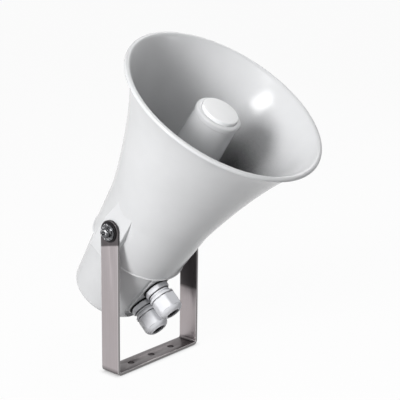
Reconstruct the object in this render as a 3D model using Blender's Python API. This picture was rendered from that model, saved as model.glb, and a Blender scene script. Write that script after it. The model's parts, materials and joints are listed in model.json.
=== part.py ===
"""Weatherproof public-address horn speaker on a tilting stainless bracket.

World frame: metres, +Z up, origin on the underside of the bracket base at its
middle hole, +Y along the tilt axis, +X the way the horn faces.
The horn is modelled about its own axis: local +X runs out of the mouth, "s"
below is a station along it measured from the pivot, and the cable glands are
on the local -Z side.
"""

import math

import bmesh
import bpy
from mathutils import Matrix, Vector

# Gaps and facets
GAP = 0.0003                    # between faces that touch on the real object
PAST = 0.002                    # how far a cutter runs past what it cuts
BIG_STEPS = 32                  # facets round the bell and the rear cover
CUP_STEPS = 24                  # facets round the reflector and its plug
MID_STEPS = 18                  # facets round the driver and the tone tube
SMALL_STEPS = 16                # facets round the glands
PIVOT_STEPS = 14                # facets round the pivot hardware
POST_STEPS = 10                 # facets round the screw posts
TINY_STEPS = 8                  # facets round screws and their holes

# Horn pose
TILT = math.radians(54.8)       # mouth above the horizontal at rest
AXIS_DROP = 0.0018              # horn axis below the tilt axis

# Tone tube
THROAT_RADIUS = 0.0080
TONE_MOUTH_RADIUS = 0.0125
TONE_WALL = 0.0018
TONE_FLANGE_THICKNESS = 0.0030
TONE_HUB_RADIUS = 0.0042
TONE_HUB_LENGTH = 0.0080
TONE_VANE_THICKNESS = 0.0018
TONE_VANES = 3

# Driver, its radii from the coil outwards
COIL_INNER_RADIUS = 0.0123
COIL_WALL = 0.0006
COIL_LENGTH = 0.0090
COIL_CLEARANCE = 0.0006         # to the top plate's bore
POLE_CLEARANCE = 0.0005         # from the coil to the pole
MAGNET_BORE_STEP = 0.0013       # magnet's bore over the top plate's
MAGNET_WIDTH = 0.0077
MAGNET_THICKNESS = 0.0120
SCREW_HEAD_ROOM = 0.0004
DRIVER_SCREW_EDGE = 0.0026      # from the screws to the driver's edge
DRIVER_SCREW_RADIUS = 0.0015
DRIVER_SCREW_HEAD_RADIUS = 0.0025
DRIVER_SCREW_HEAD_HEIGHT = 0.0020
DRIVER_SCREW_BITE = 0.0034      # thread in the bulkhead
DRIVER_SCREWS = 4
THROAT_PLATE_THICKNESS = 0.0066
PHASE_SEAT_DEPTH = 0.0031
PHASE_SEAT_LAND = 0.0056        # from the seat out to the screws' holes
PHASE_RING_WIDTH = 0.0025
PHASE_RIB_THICKNESS = 0.0016
PHASE_BULLET_TIP = 0.0012
PHASE_SLIT = 0.0020
DIAPHRAGM_TRAVEL = 0.0005       # free room before and behind the diaphragm's edge
DIAPHRAGM_SHEET = 0.0004
DIAPHRAGM_EDGE_ROOM = 0.0017    # inside the screws' holes
DOME_DEPTH = 0.0032
ROLL_WIDTH = 0.0046
ROLL_HEIGHT = 0.0012
DOME_STEPS = 3
ROLL_STEPS = 2
RING_THICKNESS = 0.0026
RING_ROOM = 0.0008              # bore of the diaphragm ring outside the roll
TOP_PLATE_THICKNESS = 0.0050
POLE_BACKSET = 0.0009           # pole face behind the dome
YOKE_THICKNESS = 0.0050
COIL_OUTER_RADIUS = COIL_INNER_RADIUS + COIL_WALL
DOME_RADIUS = COIL_INNER_RADIUS + COIL_WALL / 2
GAP_OUTER_RADIUS = COIL_OUTER_RADIUS + COIL_CLEARANCE
POLE_RADIUS = COIL_INNER_RADIUS - POLE_CLEARANCE
MAGNET_BORE_RADIUS = GAP_OUTER_RADIUS + MAGNET_BORE_STEP
MAGNET_RADIUS = MAGNET_BORE_RADIUS + MAGNET_WIDTH
DRIVER_SCREW_PITCH_RADIUS = MAGNET_RADIUS + SCREW_HEAD_ROOM + DRIVER_SCREW_HEAD_RADIUS
DRIVER_RADIUS = DRIVER_SCREW_PITCH_RADIUS + DRIVER_SCREW_EDGE
DIAPHRAGM_RADIUS = DRIVER_SCREW_PITCH_RADIUS - DRIVER_SCREW_RADIUS - DIAPHRAGM_EDGE_ROOM
ROLL_INNER_RADIUS = COIL_OUTER_RADIUS + GAP
ROLL_OUTER_RADIUS = ROLL_INNER_RADIUS + ROLL_WIDTH
RING_INNER_RADIUS = ROLL_OUTER_RADIUS + RING_ROOM
PHASE_SEAT_RADIUS = DRIVER_SCREW_PITCH_RADIUS - DRIVER_SCREW_RADIUS - PHASE_SEAT_LAND
PHASE_BULLET_RADIUS = PHASE_SEAT_RADIUS * 0.55

# Stations along the horn from the bulkhead back to the skirt
BULKHEAD_REAR = 0.0040
BULKHEAD_THICKNESS = 0.0050
BULKHEAD_FILLET = 0.0060
SOCKET_SETBACK = 0.0260         # from the bulkhead to the ledge for the gasket
SOCKET_DEPTH = 0.0110
GASKET_THICKNESS = 0.0014
GASKET_WIDTH = 0.0022
CHASSIS_ROOM = 0.0049           # behind the driver
CHASSIS_THICKNESS = 0.0020
BULKHEAD_FRONT = BULKHEAD_REAR + BULKHEAD_THICKNESS
SOCKET_FLOOR = BULKHEAD_REAR - SOCKET_SETBACK
SKIRT_STATION = SOCKET_FLOOR - SOCKET_DEPTH
COVER_SPIGOT_STATION = SOCKET_FLOOR - GASKET_THICKNESS - 2 * GAP
TONE_FLANGE_FRONT = BULKHEAD_REAR - GAP
TONE_FLANGE_REAR = TONE_FLANGE_FRONT - TONE_FLANGE_THICKNESS
THROAT_FRONT = TONE_FLANGE_REAR - GAP
THROAT_REAR = THROAT_FRONT - THROAT_PLATE_THICKNESS
SHEET_FRONT = THROAT_REAR - DIAPHRAGM_TRAVEL
SHEET_REAR = SHEET_FRONT - DIAPHRAGM_SHEET
RING_FRONT = SHEET_REAR - DIAPHRAGM_TRAVEL
RING_REAR = RING_FRONT - RING_THICKNESS
TOP_PLATE_FRONT = RING_REAR - GAP
TOP_PLATE_REAR = TOP_PLATE_FRONT - TOP_PLATE_THICKNESS
MAGNET_FRONT = TOP_PLATE_REAR - GAP
MAGNET_REAR = MAGNET_FRONT - MAGNET_THICKNESS
YOKE_FRONT = MAGNET_REAR - GAP
YOKE_REAR = YOKE_FRONT - YOKE_THICKNESS
CHASSIS_STATION = YOKE_REAR - CHASSIS_ROOM
CHASSIS_FRONT = CHASSIS_STATION - GAP
CHASSIS_REAR = CHASSIS_FRONT - CHASSIS_THICKNESS

# Screw posts round the driver, the chamber and the drum round them
BELL_POST_RADIUS = 0.0045
COVER_POST_RADIUS = 0.0055
POST_ROOM = 0.0005              # from the driver's edge to the bell's posts
POST_INSET = 0.0120             # from the posts' middle out to the chamber's wall
POST_WEB = 0.0020
SOCKET_LEDGE = 0.0025
SKIRT_WALL = 0.0035
NECK_SPREAD = 0.0035            # flare's start outside the skirt
COVER_STEP = 0.0006             # drum outside its spigot
CHASSIS_EDGE_ROOM = 0.0050
COVER_SCREW_RADIUS = 0.0020
COVER_SCREW_HEAD_RADIUS = 0.0035
COVER_SCREW_HEAD_HEIGHT = 0.0030
COVER_SCREW_SINK = 0.0050       # head pocket in the rear face
COVER_SCREW_BITE = 0.0120       # thread in the bell's posts
COVER_SCREWS = 4
COVER_SCREW_PITCH_RADIUS = DRIVER_RADIUS + POST_ROOM + BELL_POST_RADIUS
CHAMBER_RADIUS = COVER_SCREW_PITCH_RADIUS + POST_INSET
SOCKET_RADIUS = CHAMBER_RADIUS + SOCKET_LEDGE
SPIGOT_RADIUS = SOCKET_RADIUS - GAP
COVER_SHOULDER_RADIUS = SPIGOT_RADIUS + COVER_STEP
SKIRT_RADIUS = SOCKET_RADIUS + SKIRT_WALL
FLARE_RADIUS = SKIRT_RADIUS + NECK_SPREAD
CHASSIS_RADIUS = CHAMBER_RADIUS - CHASSIS_EDGE_ROOM

# Bell
MOUTH_STATION = 0.1615
MOUTH_RADIUS = 0.1030
RIM_RADIUS = 0.0020             # rolled edge of the mouth
BELL_WALL = 0.0030
NECK_LENGTH = 0.0114            # straight from the bulkhead to the flare
FLARE_START_SLOPE = 0.16
FLARE_END_SLOPE = 0.85
FLARE_START_PULL = 0.0300
FLARE_END_PULL = 0.0320
FLARE_STEPS = 8
SKIRT_EDGE = 0.0010             # rounding of the skirt's edge
BOSS_HALF_HEIGHT = 0.0150
BOSS_RUN_IN = 0.0276            # how far the bosses run into the flare
BOSS_PROUD = 0.0028             # boss face outside the flare's start
BOSS_EDGE = 0.0012
FLARE_STATION = BULKHEAD_FRONT + NECK_LENGTH
BOSS_FRONT = FLARE_STATION + BOSS_RUN_IN
BOSS_FACE = FLARE_RADIUS + BOSS_PROUD

# Bracket
STRIP_WIDTH = 0.023
STRIP_THICKNESS = 0.0028
PIVOT_HEIGHT = 0.1476           # tilt axis above the underside of the base
BEND_INNER_RADIUS = 0.0020
BASE_HOLE_RADIUS = 0.0035
BASE_HOLE_PITCH = 0.0302
ARM_FACE = BOSS_FACE + GAP + STRIP_THICKNESS

# Pivot hardware
BOLT_RADIUS = 0.0030
BOLT_HEAD_RADIUS = 0.0053
BOLT_HEAD_HEIGHT = 0.0033
BOLT_SOCKET_RADIUS = 0.0023
BOLT_SOCKET_DEPTH = 0.0020
BOLT_HOLE_CLEARANCE = 0.0003
BOLT_END_ROOM = 0.0010          # from the bolt's tip to the insert's end
SPRING_WASHER_RADIUS = 0.0059
SPRING_WASHER_THICKNESS = 0.0014
FLAT_WASHER_RADIUS = 0.0085
FLAT_WASHER_THICKNESS = 0.0014
DARK_WASHER_RADIUS = 0.0100
DARK_WASHER_THICKNESS = 0.0010
INSERT_WALL = 0.0012
INSERT_FLANGE_WIDTH = 0.0013
INSERT_FLANGE_THICKNESS = 0.0008
INSERT_LENGTH = 0.0090
BOLT_BORE_RADIUS = BOLT_RADIUS + GAP
INSERT_RADIUS = BOLT_BORE_RADIUS + INSERT_WALL
INSERT_FLANGE_RADIUS = INSERT_RADIUS + INSERT_FLANGE_WIDTH

# Reflector, its plug and screw
REFLECTOR_SETBACK = 0.0143      # front of the cup behind the mouth
REFLECTOR_REAR_ROOM = 0.0130    # open end of the cup before the bulkhead
REFLECTOR_SPREAD = 0.0041       # open end wider than the neck
REFLECTOR_NECK_RADIUS = 0.0224
REFLECTOR_LIP_STEP = 0.0008
REFLECTOR_LIP_WIDTH = 0.0062
REFLECTOR_SHOULDER = 0.0022
REFLECTOR_WALL = 0.0022
REFLECTOR_TURN_ROOM = 0.0120    # straight inner wall past the tone tube's mouth
REFLECTOR_FACE = 0.0252         # from the tone tube's mouth to the cup's front
REFLECTOR_BOSS_RADIUS = 0.0060
PLUG_LAND = 0.0027              # lip left round the plug
PLUG_SEAT_DEPTH = 0.0035
PLUG_PROUD = 0.0033
PLUG_WALL = 0.0020
PLUG_EDGE = 0.0009
REFLECTOR_SCREW_RADIUS = 0.0020
REFLECTOR_SCREW_HEAD_RADIUS = 0.0036
REFLECTOR_SCREW_HEAD_HEIGHT = 0.0024
REFLECTOR_SCREW_SINK = 0.0030
REFLECTOR_FRONT = MOUTH_STATION - REFLECTOR_SETBACK
REFLECTOR_REAR = BULKHEAD_FRONT + REFLECTOR_REAR_ROOM
REFLECTOR_REAR_RADIUS = REFLECTOR_NECK_RADIUS + REFLECTOR_SPREAD
REFLECTOR_NECK_STATION = REFLECTOR_FRONT - REFLECTOR_LIP_WIDTH
REFLECTOR_LIP_RADIUS = REFLECTOR_NECK_RADIUS + REFLECTOR_LIP_STEP
TONE_MOUTH_STATION = REFLECTOR_FRONT - REFLECTOR_FACE
PLUG_RADIUS = REFLECTOR_LIP_RADIUS - REFLECTOR_SHOULDER - PLUG_LAND

# What the chassis plate carries
CHASSIS_CHORD_ROOM = 0.0125     # straight lower edge, clear of the front gland
CORE_HALF_WIDTH = 0.0170
CORE_LOW = -0.0020
CORE_YOKE = 0.0056
CORE_STACK = 0.0140
CORE_LEG = 0.0055               # half of the middle leg
WINDOW_WIDTH = 0.0060
WINDOW_HEIGHT = 0.0168
WINDING_BUILD = 0.0050
FRAME_SHEET = 0.0010
FRAME_EDGE = 0.0003             # strap inside the yoke's height
FRAME_FOOT = 0.0070
FRAME_SCREW_RADIUS = 0.0015
FRAME_SCREW_HEAD_RADIUS = 0.0024
FRAME_SCREW_HEAD_HEIGHT = 0.0018
TERMINAL_EDGE = 0.0042          # block's end beyond the outer screws
TERMINAL_DROP = 0.0075          # block's top below the core
TERMINAL_HEIGHT = 0.0120
TERMINAL_DEPTH = 0.0130
TERMINAL_PITCH = 0.0072
TERMINAL_WELL_RADIUS = 0.0022
TERMINAL_WELL_DEPTH = 0.0060
TERMINAL_ENTRY_RADIUS = 0.0015
TERMINAL_SCREW_SINK = 0.0010
TERMINALS = 4
LEAD_RADIUS = 0.0008
LEAD_SPREAD = 0.0045            # each lead beside the middle plane
LEAD_RISE = 0.0060              # over the core
LEAD_BEND = 0.0040              # how far the leads stay from the plate when they turn
CORE_HEIGHT = WINDOW_HEIGHT + 2 * CORE_YOKE
FRAME_WIDTH = CORE_YOKE - 2 * FRAME_EDGE
TERMINAL_TOP = CORE_LOW - TERMINAL_DROP
TERMINAL_HALF_WIDTH = TERMINAL_PITCH * (TERMINALS - 1) / 2 + TERMINAL_EDGE
LEAD_HEIGHT = CORE_LOW + CORE_HEIGHT + LEAD_RISE

# Cable glands on the flat of the cover, their radii from the thread
GLAND_THREAD_RADIUS = 0.0098
GLAND_THREAD_LENGTH = 0.0115
GLAND_WALL = 0.0028             # of the body's bore
GLAND_GRIP = 0.0022             # flats outside the thread
GLAND_CORNER = 0.0014           # turned-down corners outside the flats
GLAND_WASHER_THICKNESS = 0.0012
GLAND_FLANGE_THICKNESS = 0.0050
GLAND_NECK_STEP = 0.0014
GLAND_NECK_LENGTH = 0.0040
GLAND_CAGE_WALL = 0.0012
GLAND_CAGE_SLOTS = 2            # each slot cuts through both sides
GLAND_UPPER_THREAD = 0.0085
GLAND_CAGE_LENGTH = 0.0060
GLAND_NUT_CROWN = 0.0080        # nut beyond the cage
GLAND_NUT_COLLAR = 0.0030       # round part below the flats
GLAND_NUT_HEX = 0.0125
GLAND_NUT_EDGE = 0.0018         # end face round the mouth
GLAND_SEAL_WALL = 0.0024
LOCKNUT_THICKNESS = 0.0045
GLAND_SPACE = 0.0028            # between the two glands
GLAND_FRONT_ROOM = 0.0082       # between the skirt and the front gland
GLAND_REAR_ROOM = 0.0086        # between the rear gland and the drum's end
GLAND_SEAT_DEPTH = 0.0029       # flat below the drum's surface
GLAND_SEAT_ROOM = 0.0024        # flat wider than the gland
GLAND_FACE_TILT = math.radians(6.0)
GLAND_NAMES = ("front", "rear")
GLAND_BORE_RADIUS = GLAND_THREAD_RADIUS - GLAND_WALL
GLAND_HALF_FLATS = GLAND_THREAD_RADIUS + GLAND_GRIP
GLAND_ROUND_RADIUS = GLAND_HALF_FLATS + GLAND_CORNER
GLAND_NECK_RADIUS = GLAND_THREAD_RADIUS + GLAND_NECK_STEP
GLAND_CAGE_RADIUS = GLAND_THREAD_RADIUS - GAP
GLAND_NUT_END_RADIUS = GLAND_BORE_RADIUS + GLAND_NUT_EDGE
GLAND_SEAL_BORE = GLAND_BORE_RADIUS - GLAND_SEAL_WALL
GLAND_PITCH = 2 * GLAND_ROUND_RADIUS + GLAND_SPACE
GLAND_FACE_HALF_WIDTH = GLAND_ROUND_RADIUS + GLAND_SEAT_ROOM
GLAND_RUN = GLAND_PITCH * math.cos(GLAND_FACE_TILT)

# Rear cover
COVER_DRAFT = 0.0974            # how fast the drum narrows
COVER_REAR_ROUND = 0.0070
COVER_WALL = 0.0030
COVER_SHOULDER_STATION = SKIRT_STATION - GAP
GLAND_FACE_STATION = SKIRT_STATION - GLAND_FRONT_ROOM - GLAND_ROUND_RADIUS - GLAND_RUN / 2
COVER_REAR = GLAND_FACE_STATION - GLAND_RUN / 2 - GLAND_ROUND_RADIUS - GLAND_REAR_ROOM


def clear_scene():
    """Remove whatever the opened file holds."""
    for thing in list(bpy.data.objects):
        bpy.data.objects.remove(thing, do_unlink=True)


def finish(name, colour, roughness, metallic=0.0):
    """Make one Principled material."""
    made = bpy.data.materials.new(name)
    made.use_nodes = True
    shader = made.node_tree.nodes["Principled BSDF"]
    shader.inputs["Base Color"].default_value = (*colour, 1.0)
    shader.inputs["Roughness"].default_value = roughness
    shader.inputs["Metallic"].default_value = metallic
    return made


def make_finishes():
    """All the materials of the object, by a maker's plain name."""
    return {
        "shell": finish("pale_grey_moulding", (0.74, 0.75, 0.75), 0.42),
        "plug": finish("white_plug", (0.86, 0.86, 0.86), 0.40),
        "gland": finish("light_nylon", (0.76, 0.76, 0.78), 0.45),
        "rubber": finish("black_rubber", (0.02, 0.02, 0.02), 0.80),
        "nylon": finish("black_nylon", (0.03, 0.03, 0.03), 0.55),
        "strip": finish("brushed_stainless", (0.46, 0.44, 0.44), 0.38, 1.0),
        "bolt": finish("bright_stainless", (0.62, 0.62, 0.62), 0.22, 1.0),
        "brass": finish("brass", (0.72, 0.52, 0.22), 0.35, 1.0),
        "zinc": finish("cast_zinc", (0.55, 0.55, 0.56), 0.45, 1.0),
        "steel": finish("plated_steel", (0.58, 0.57, 0.52), 0.35, 1.0),
        "ferrite": finish("ferrite", (0.08, 0.08, 0.085), 0.60),
        "film": finish("phenolic_film", (0.35, 0.18, 0.07), 0.50),
        "copper": finish("enamelled_copper", (0.60, 0.25, 0.10), 0.35, 1.0),
        "iron": finish("lamination_stack", (0.25, 0.25, 0.27), 0.50, 1.0),
        "block": finish("terminal_plastic", (0.70, 0.70, 0.66), 0.50),
        "lead": finish("lead_sheath", (0.30, 0.02, 0.02), 0.50),
        "guide": finish("cutting_guide", (1.0, 0.3, 0.1), 0.50),
    }


def holder(name, parent=None, location=(0, 0, 0), rotation=(0, 0, 0)):
    """An empty that carries other objects."""
    made = bpy.data.objects.new(name, None)
    bpy.context.collection.objects.link(made)
    made.parent = parent
    made.location = location
    made.rotation_euler = rotation
    return made


def body(name, mesh, material, parent=None, location=(0, 0, 0), rotation=(0, 0, 0), sharp=35):
    """Turn a bmesh into a named object with one material."""
    bmesh.ops.recalc_face_normals(mesh, faces=mesh.faces)
    data = bpy.data.meshes.new(name)
    mesh.to_mesh(data)
    mesh.free()
    data.materials.append(material)
    data.shade_smooth()
    data.set_sharp_from_angle(angle=math.radians(sharp))
    made = bpy.data.objects.new(name, data)
    bpy.context.collection.objects.link(made)
    made.parent = parent
    made.location = location
    made.rotation_euler = rotation
    return made


def guide(name, mesh, parent=None, location=(0, 0, 0), rotation=(0, 0, 0)):
    """A hidden solid that only cuts or adds to another one."""
    made = body(name, mesh, FINISH["guide"], parent, location, rotation)
    made.hide_render = True
    made.display_type = "WIRE"
    return made


def combine(target, tool, operation):
    """Put a Boolean modifier on the target."""
    modifier = target.modifiers.new(tool.name, "BOOLEAN")
    modifier.operation = operation
    modifier.object = tool
    modifier.solver = "EXACT"


def add_turned(mesh, outline, steps):
    """Spin a closed outline of (station, radius) points about the X axis.

    A flat end that reaches the axis becomes one face, without spokes.
    """
    before = set(mesh.verts)
    points = [None] * len(outline)
    for index, (station, radius) in enumerate(outline):
        near = (outline[index - 1], outline[(index + 1) % len(outline)])
        flat = any(other[1] > 0 and other[0] == station for other in near)
        if radius > 0 or not flat:
            points[index] = mesh.verts.new((station, 0.0, radius))
    edges = []
    for index, (station, radius) in enumerate(outline):
        start, end = points[index - 1], points[index]
        if start and end and (radius > 0 or outline[index - 1][1] > 0):
            edges.append(mesh.edges.new((start, end)))
    bmesh.ops.spin(
        mesh, geom=[point for point in points if point] + edges, cent=(0, 0, 0), axis=(1, 0, 0),
        angle=math.tau, steps=steps, use_merge=True,
    )
    made = [vert for vert in mesh.verts if vert not in before]
    bmesh.ops.remove_doubles(mesh, verts=made, dist=1e-7)
    rims = [edge for edge in mesh.edges if edge.is_boundary]
    bmesh.ops.holes_fill(mesh, edges=rims, sides=0)


def turned(outline, steps):
    """A new bmesh with one turned solid."""
    mesh = bmesh.new()
    add_turned(mesh, outline, steps)
    return mesh


def ring_outline(start, end, inner, outer):
    """The outline of a plain ring between two stations."""
    return [(start, inner), (start, outer), (end, outer), (end, inner)]


def add_rod(mesh, start, end, radius, steps):
    """A capped cylinder from one point to another."""
    start, end = Vector(start), Vector(end)
    turn = (end - start).to_track_quat("Z", "Y").to_matrix().to_4x4()
    place = Matrix.Translation((start + end) / 2) @ turn
    bmesh.ops.create_cone(
        mesh, cap_ends=True, cap_tris=False, segments=steps, radius1=radius, radius2=radius,
        depth=(end - start).length, matrix=place,
    )


def add_block(mesh, low, high, turn=None):
    """A box between two corners, turned about the origin where asked."""
    low, high = Vector(low), Vector(high)
    size = Matrix.Diagonal((*(high - low), 1.0))
    place = Matrix.Translation((low + high) / 2) @ size
    if turn is not None:
        place = turn @ place
    bmesh.ops.create_cube(mesh, size=1.0, matrix=place)


def add_prism(mesh, outline, start, end):
    """Extrude a closed (x, y) outline between two heights."""
    face = mesh.faces.new([mesh.verts.new((x, y, start)) for x, y in outline])
    pushed = bmesh.ops.extrude_face_region(mesh, geom=[face])["geom"]
    moved = [item for item in pushed if isinstance(item, bmesh.types.BMVert)]
    bmesh.ops.translate(mesh, verts=moved, vec=(0, 0, end - start))


def arc(centre, radius, start, end, steps):
    """Points on an arc in the (station, radius) plane, angles in degrees."""
    angles = [math.radians(start + (end - start) * step / steps) for step in range(steps + 1)]
    return [(centre[0] + radius * math.cos(a), centre[1] + radius * math.sin(a)) for a in angles]


def round_the_axis(count, phase=0.0):
    """Equal angles round the horn axis."""
    return [phase + math.tau * index / count for index in range(count)]


def at_angle(station, radius, angle):
    """A point at a radius and an angle about the X axis."""
    return (station, radius * math.cos(angle), radius * math.sin(angle))


def add_rods_round(mesh, start, end, pitch_radius, radius, angles, steps):
    """Parallel rods on a circle round the X axis."""
    for angle in angles:
        add_rod(mesh, at_angle(start, pitch_radius, angle), at_angle(end, pitch_radius, angle),
                radius, steps)


def hex_prism(across_flats, start, end):
    """A six-sided bar along the X axis, a flat up."""
    mesh = bmesh.new()
    corner = across_flats / 2 / math.cos(math.pi / 6)
    add_rod(mesh, (start, 0, 0), (end, 0, 0), corner, 6)
    return mesh


def screw_outline(head_radius, head_height, shank_radius, length):
    """Head before the origin, shank after it, with a chamfered tip."""
    chamfer = shank_radius / 3
    return [
        (-head_height, 0), (-head_height, head_radius * 0.72), (-head_height * 0.55, head_radius),
        (0, head_radius), (0, shank_radius), (length - chamfer, shank_radius),
        (length, shank_radius - chamfer), (length, 0),
    ]


def make_bracket():
    """The folded strip with round arm ends, base holes and pivot holes."""
    half = ARM_FACE
    outer_bend = BEND_INNER_RADIUS + STRIP_THICKNESS
    crown = PIVOT_HEIGHT + STRIP_WIDTH / 2
    top = crown + PAST
    bends = 4
    outer, inner = [], []
    for step in range(bends + 1):
        angle = math.pi * 1.5 - math.pi / 2 * step / bends
        away = Vector((math.cos(angle), math.sin(angle)))
        centre = Vector((outer_bend - half, outer_bend))
        outer.append(centre + away * outer_bend)
        inner.append(centre + away * BEND_INNER_RADIUS)
    outer = outer + [Vector((-half, top))]
    inner = inner + [Vector((STRIP_THICKNESS - half, top))]
    left = outer[::-1] + [Vector((-point.x, point.y)) for point in outer]
    right = [Vector((-point.x, point.y)) for point in inner][::-1] + inner
    section = [(point.x, point.y) for point in left + right]
    mesh = bmesh.new()
    add_prism(mesh, section, -STRIP_WIDTH / 2 - PAST, STRIP_WIDTH / 2 + PAST)
    stand = Matrix(((0, 0, 1, 0), (1, 0, 0, 0), (0, 1, 0, 0), (0, 0, 0, 1)))
    bmesh.ops.transform(mesh, matrix=stand, verts=mesh.verts)
    strip = body("bracket", mesh, FINISH["strip"], sharp=30)

    mesh = bmesh.new()
    edge = [(-STRIP_WIDTH / 2, -PAST), (STRIP_WIDTH / 2, -PAST)]
    edge += [(x, PIVOT_HEIGHT + z) for x, z in arc((0, 0), STRIP_WIDTH / 2, 0, 180, 12)]
    add_prism(mesh, edge, -half - PAST, half + PAST)
    lay = Matrix(((1, 0, 0, 0), (0, 0, 1, 0), (0, 1, 0, 0), (0, 0, 0, 1)))
    bmesh.ops.transform(mesh, matrix=lay, verts=mesh.verts)
    combine(strip, guide("strip_width_guide", mesh), "INTERSECT")

    mesh = bmesh.new()
    for place in (-BASE_HOLE_PITCH, 0.0, BASE_HOLE_PITCH):
        add_rod(mesh, (0, place, -PAST), (0, place, STRIP_THICKNESS + PAST), BASE_HOLE_RADIUS, 12)
    for side in (-1, 1):
        add_rod(mesh, (0, side * (half + PAST), PIVOT_HEIGHT),
                (0, side * (half - STRIP_THICKNESS - PAST), PIVOT_HEIGHT),
                BOLT_RADIUS + BOLT_HOLE_CLEARANCE, 12)
    combine(strip, guide("bracket_holes_guide", mesh), "DIFFERENCE")


def make_pivot_set(side, name, pivot):
    """Bolt, washers and insert of one arm, along the tilt axis."""
    outward = math.pi / 2 if side > 0 else -math.pi / 2
    seat = holder("pivot_seat_" + name, pivot, (0, side * ARM_FACE, 0), (0, 0, outward))
    bore = BOLT_BORE_RADIUS
    station = GAP
    dark = ring_outline(station, station + DARK_WASHER_THICKNESS, bore, DARK_WASHER_RADIUS)
    body("pivot_dark_washer_" + name, turned(dark, PIVOT_STEPS), FINISH["nylon"], seat)
    station += DARK_WASHER_THICKNESS + GAP
    flat = ring_outline(station, station + FLAT_WASHER_THICKNESS, bore, FLAT_WASHER_RADIUS)
    body("pivot_flat_washer_" + name, turned(flat, PIVOT_STEPS), FINISH["bolt"], seat)
    station += FLAT_WASHER_THICKNESS + GAP
    body("pivot_spring_washer_" + name, split_ring(station), FINISH["bolt"], seat)
    station += SPRING_WASHER_THICKNESS + GAP

    length = station + ARM_FACE - BOSS_FACE + INSERT_LENGTH - BOLT_END_ROOM
    outline = screw_outline(BOLT_HEAD_RADIUS, BOLT_HEAD_HEIGHT, BOLT_RADIUS, length)
    bolt = body("pivot_bolt_" + name, turned(outline, PIVOT_STEPS), FINISH["bolt"], seat,
                (station, 0, 0), (0, 0, math.pi))
    socket = hex_prism(BOLT_SOCKET_RADIUS * 2 * math.cos(math.pi / 6),
                       -BOLT_HEAD_HEIGHT - PAST, BOLT_SOCKET_DEPTH - BOLT_HEAD_HEIGHT)
    combine(bolt, guide("bolt_socket_guide_" + name, socket, seat, (station, 0, 0),
                        (0, 0, math.pi)), "DIFFERENCE")

    boss_depth = ARM_FACE - BOSS_FACE + GAP
    insert = [
        (-boss_depth - INSERT_LENGTH, bore), (-boss_depth - INSERT_LENGTH, INSERT_RADIUS),
        (-boss_depth - INSERT_FLANGE_THICKNESS, INSERT_RADIUS),
        (-boss_depth - INSERT_FLANGE_THICKNESS, INSERT_FLANGE_RADIUS),
        (-boss_depth, INSERT_FLANGE_RADIUS), (-boss_depth, bore),
    ]
    body("pivot_insert_" + name, turned(insert, PIVOT_STEPS), FINISH["brass"], seat)


def split_ring(station):
    """A spring washer: a square wire wound almost once round, ends a little apart."""
    mesh = bmesh.new()
    inner = BOLT_BORE_RADIUS
    wire = SPRING_WASHER_THICKNESS * 0.8
    corners = [(station, inner), (station + wire, inner), (station + wire, SPRING_WASHER_RADIUS),
               (station, SPRING_WASHER_RADIUS)]
    face = mesh.faces.new([mesh.verts.new((x, 0, r)) for x, r in corners])
    geometry = [face] + list(face.edges) + list(face.verts)
    rise = (SPRING_WASHER_THICKNESS - wire) / PIVOT_STEPS
    bmesh.ops.spin(mesh, geom=geometry, cent=(0, 0, 0), axis=(1, 0, 0), dvec=(rise, 0, 0),
                   angle=math.radians(342), steps=PIVOT_STEPS)
    return mesh


def flare_point(share):
    """A point of the bell's outer flare, a cubic curve from its start to the rim."""
    start = Vector((FLARE_STATION, FLARE_RADIUS))
    end = Vector((MOUTH_STATION - RIM_RADIUS, MOUTH_RADIUS - RIM_RADIUS * 1.2))
    first = start + Vector((1, FLARE_START_SLOPE)).normalized() * FLARE_START_PULL
    second = end - Vector((1, FLARE_END_SLOPE)).normalized() * FLARE_END_PULL
    rest = 1 - share
    return (start * rest ** 3 + first * 3 * rest ** 2 * share
            + second * 3 * rest * share ** 2 + end * share ** 3)


def flare_outline(inset):
    """The flare, moved inwards along its normal by a wall."""
    points = []
    for step in range(FLARE_STEPS + 1):
        share = step / FLARE_STEPS
        ahead = flare_point(min(share + 0.01, 1.0)) - flare_point(max(share - 0.01, 0.0))
        normal = Vector((ahead.y, -ahead.x)).normalized()
        point = flare_point(share) + normal * inset
        points.append((point.x, point.y))
    return points


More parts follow.
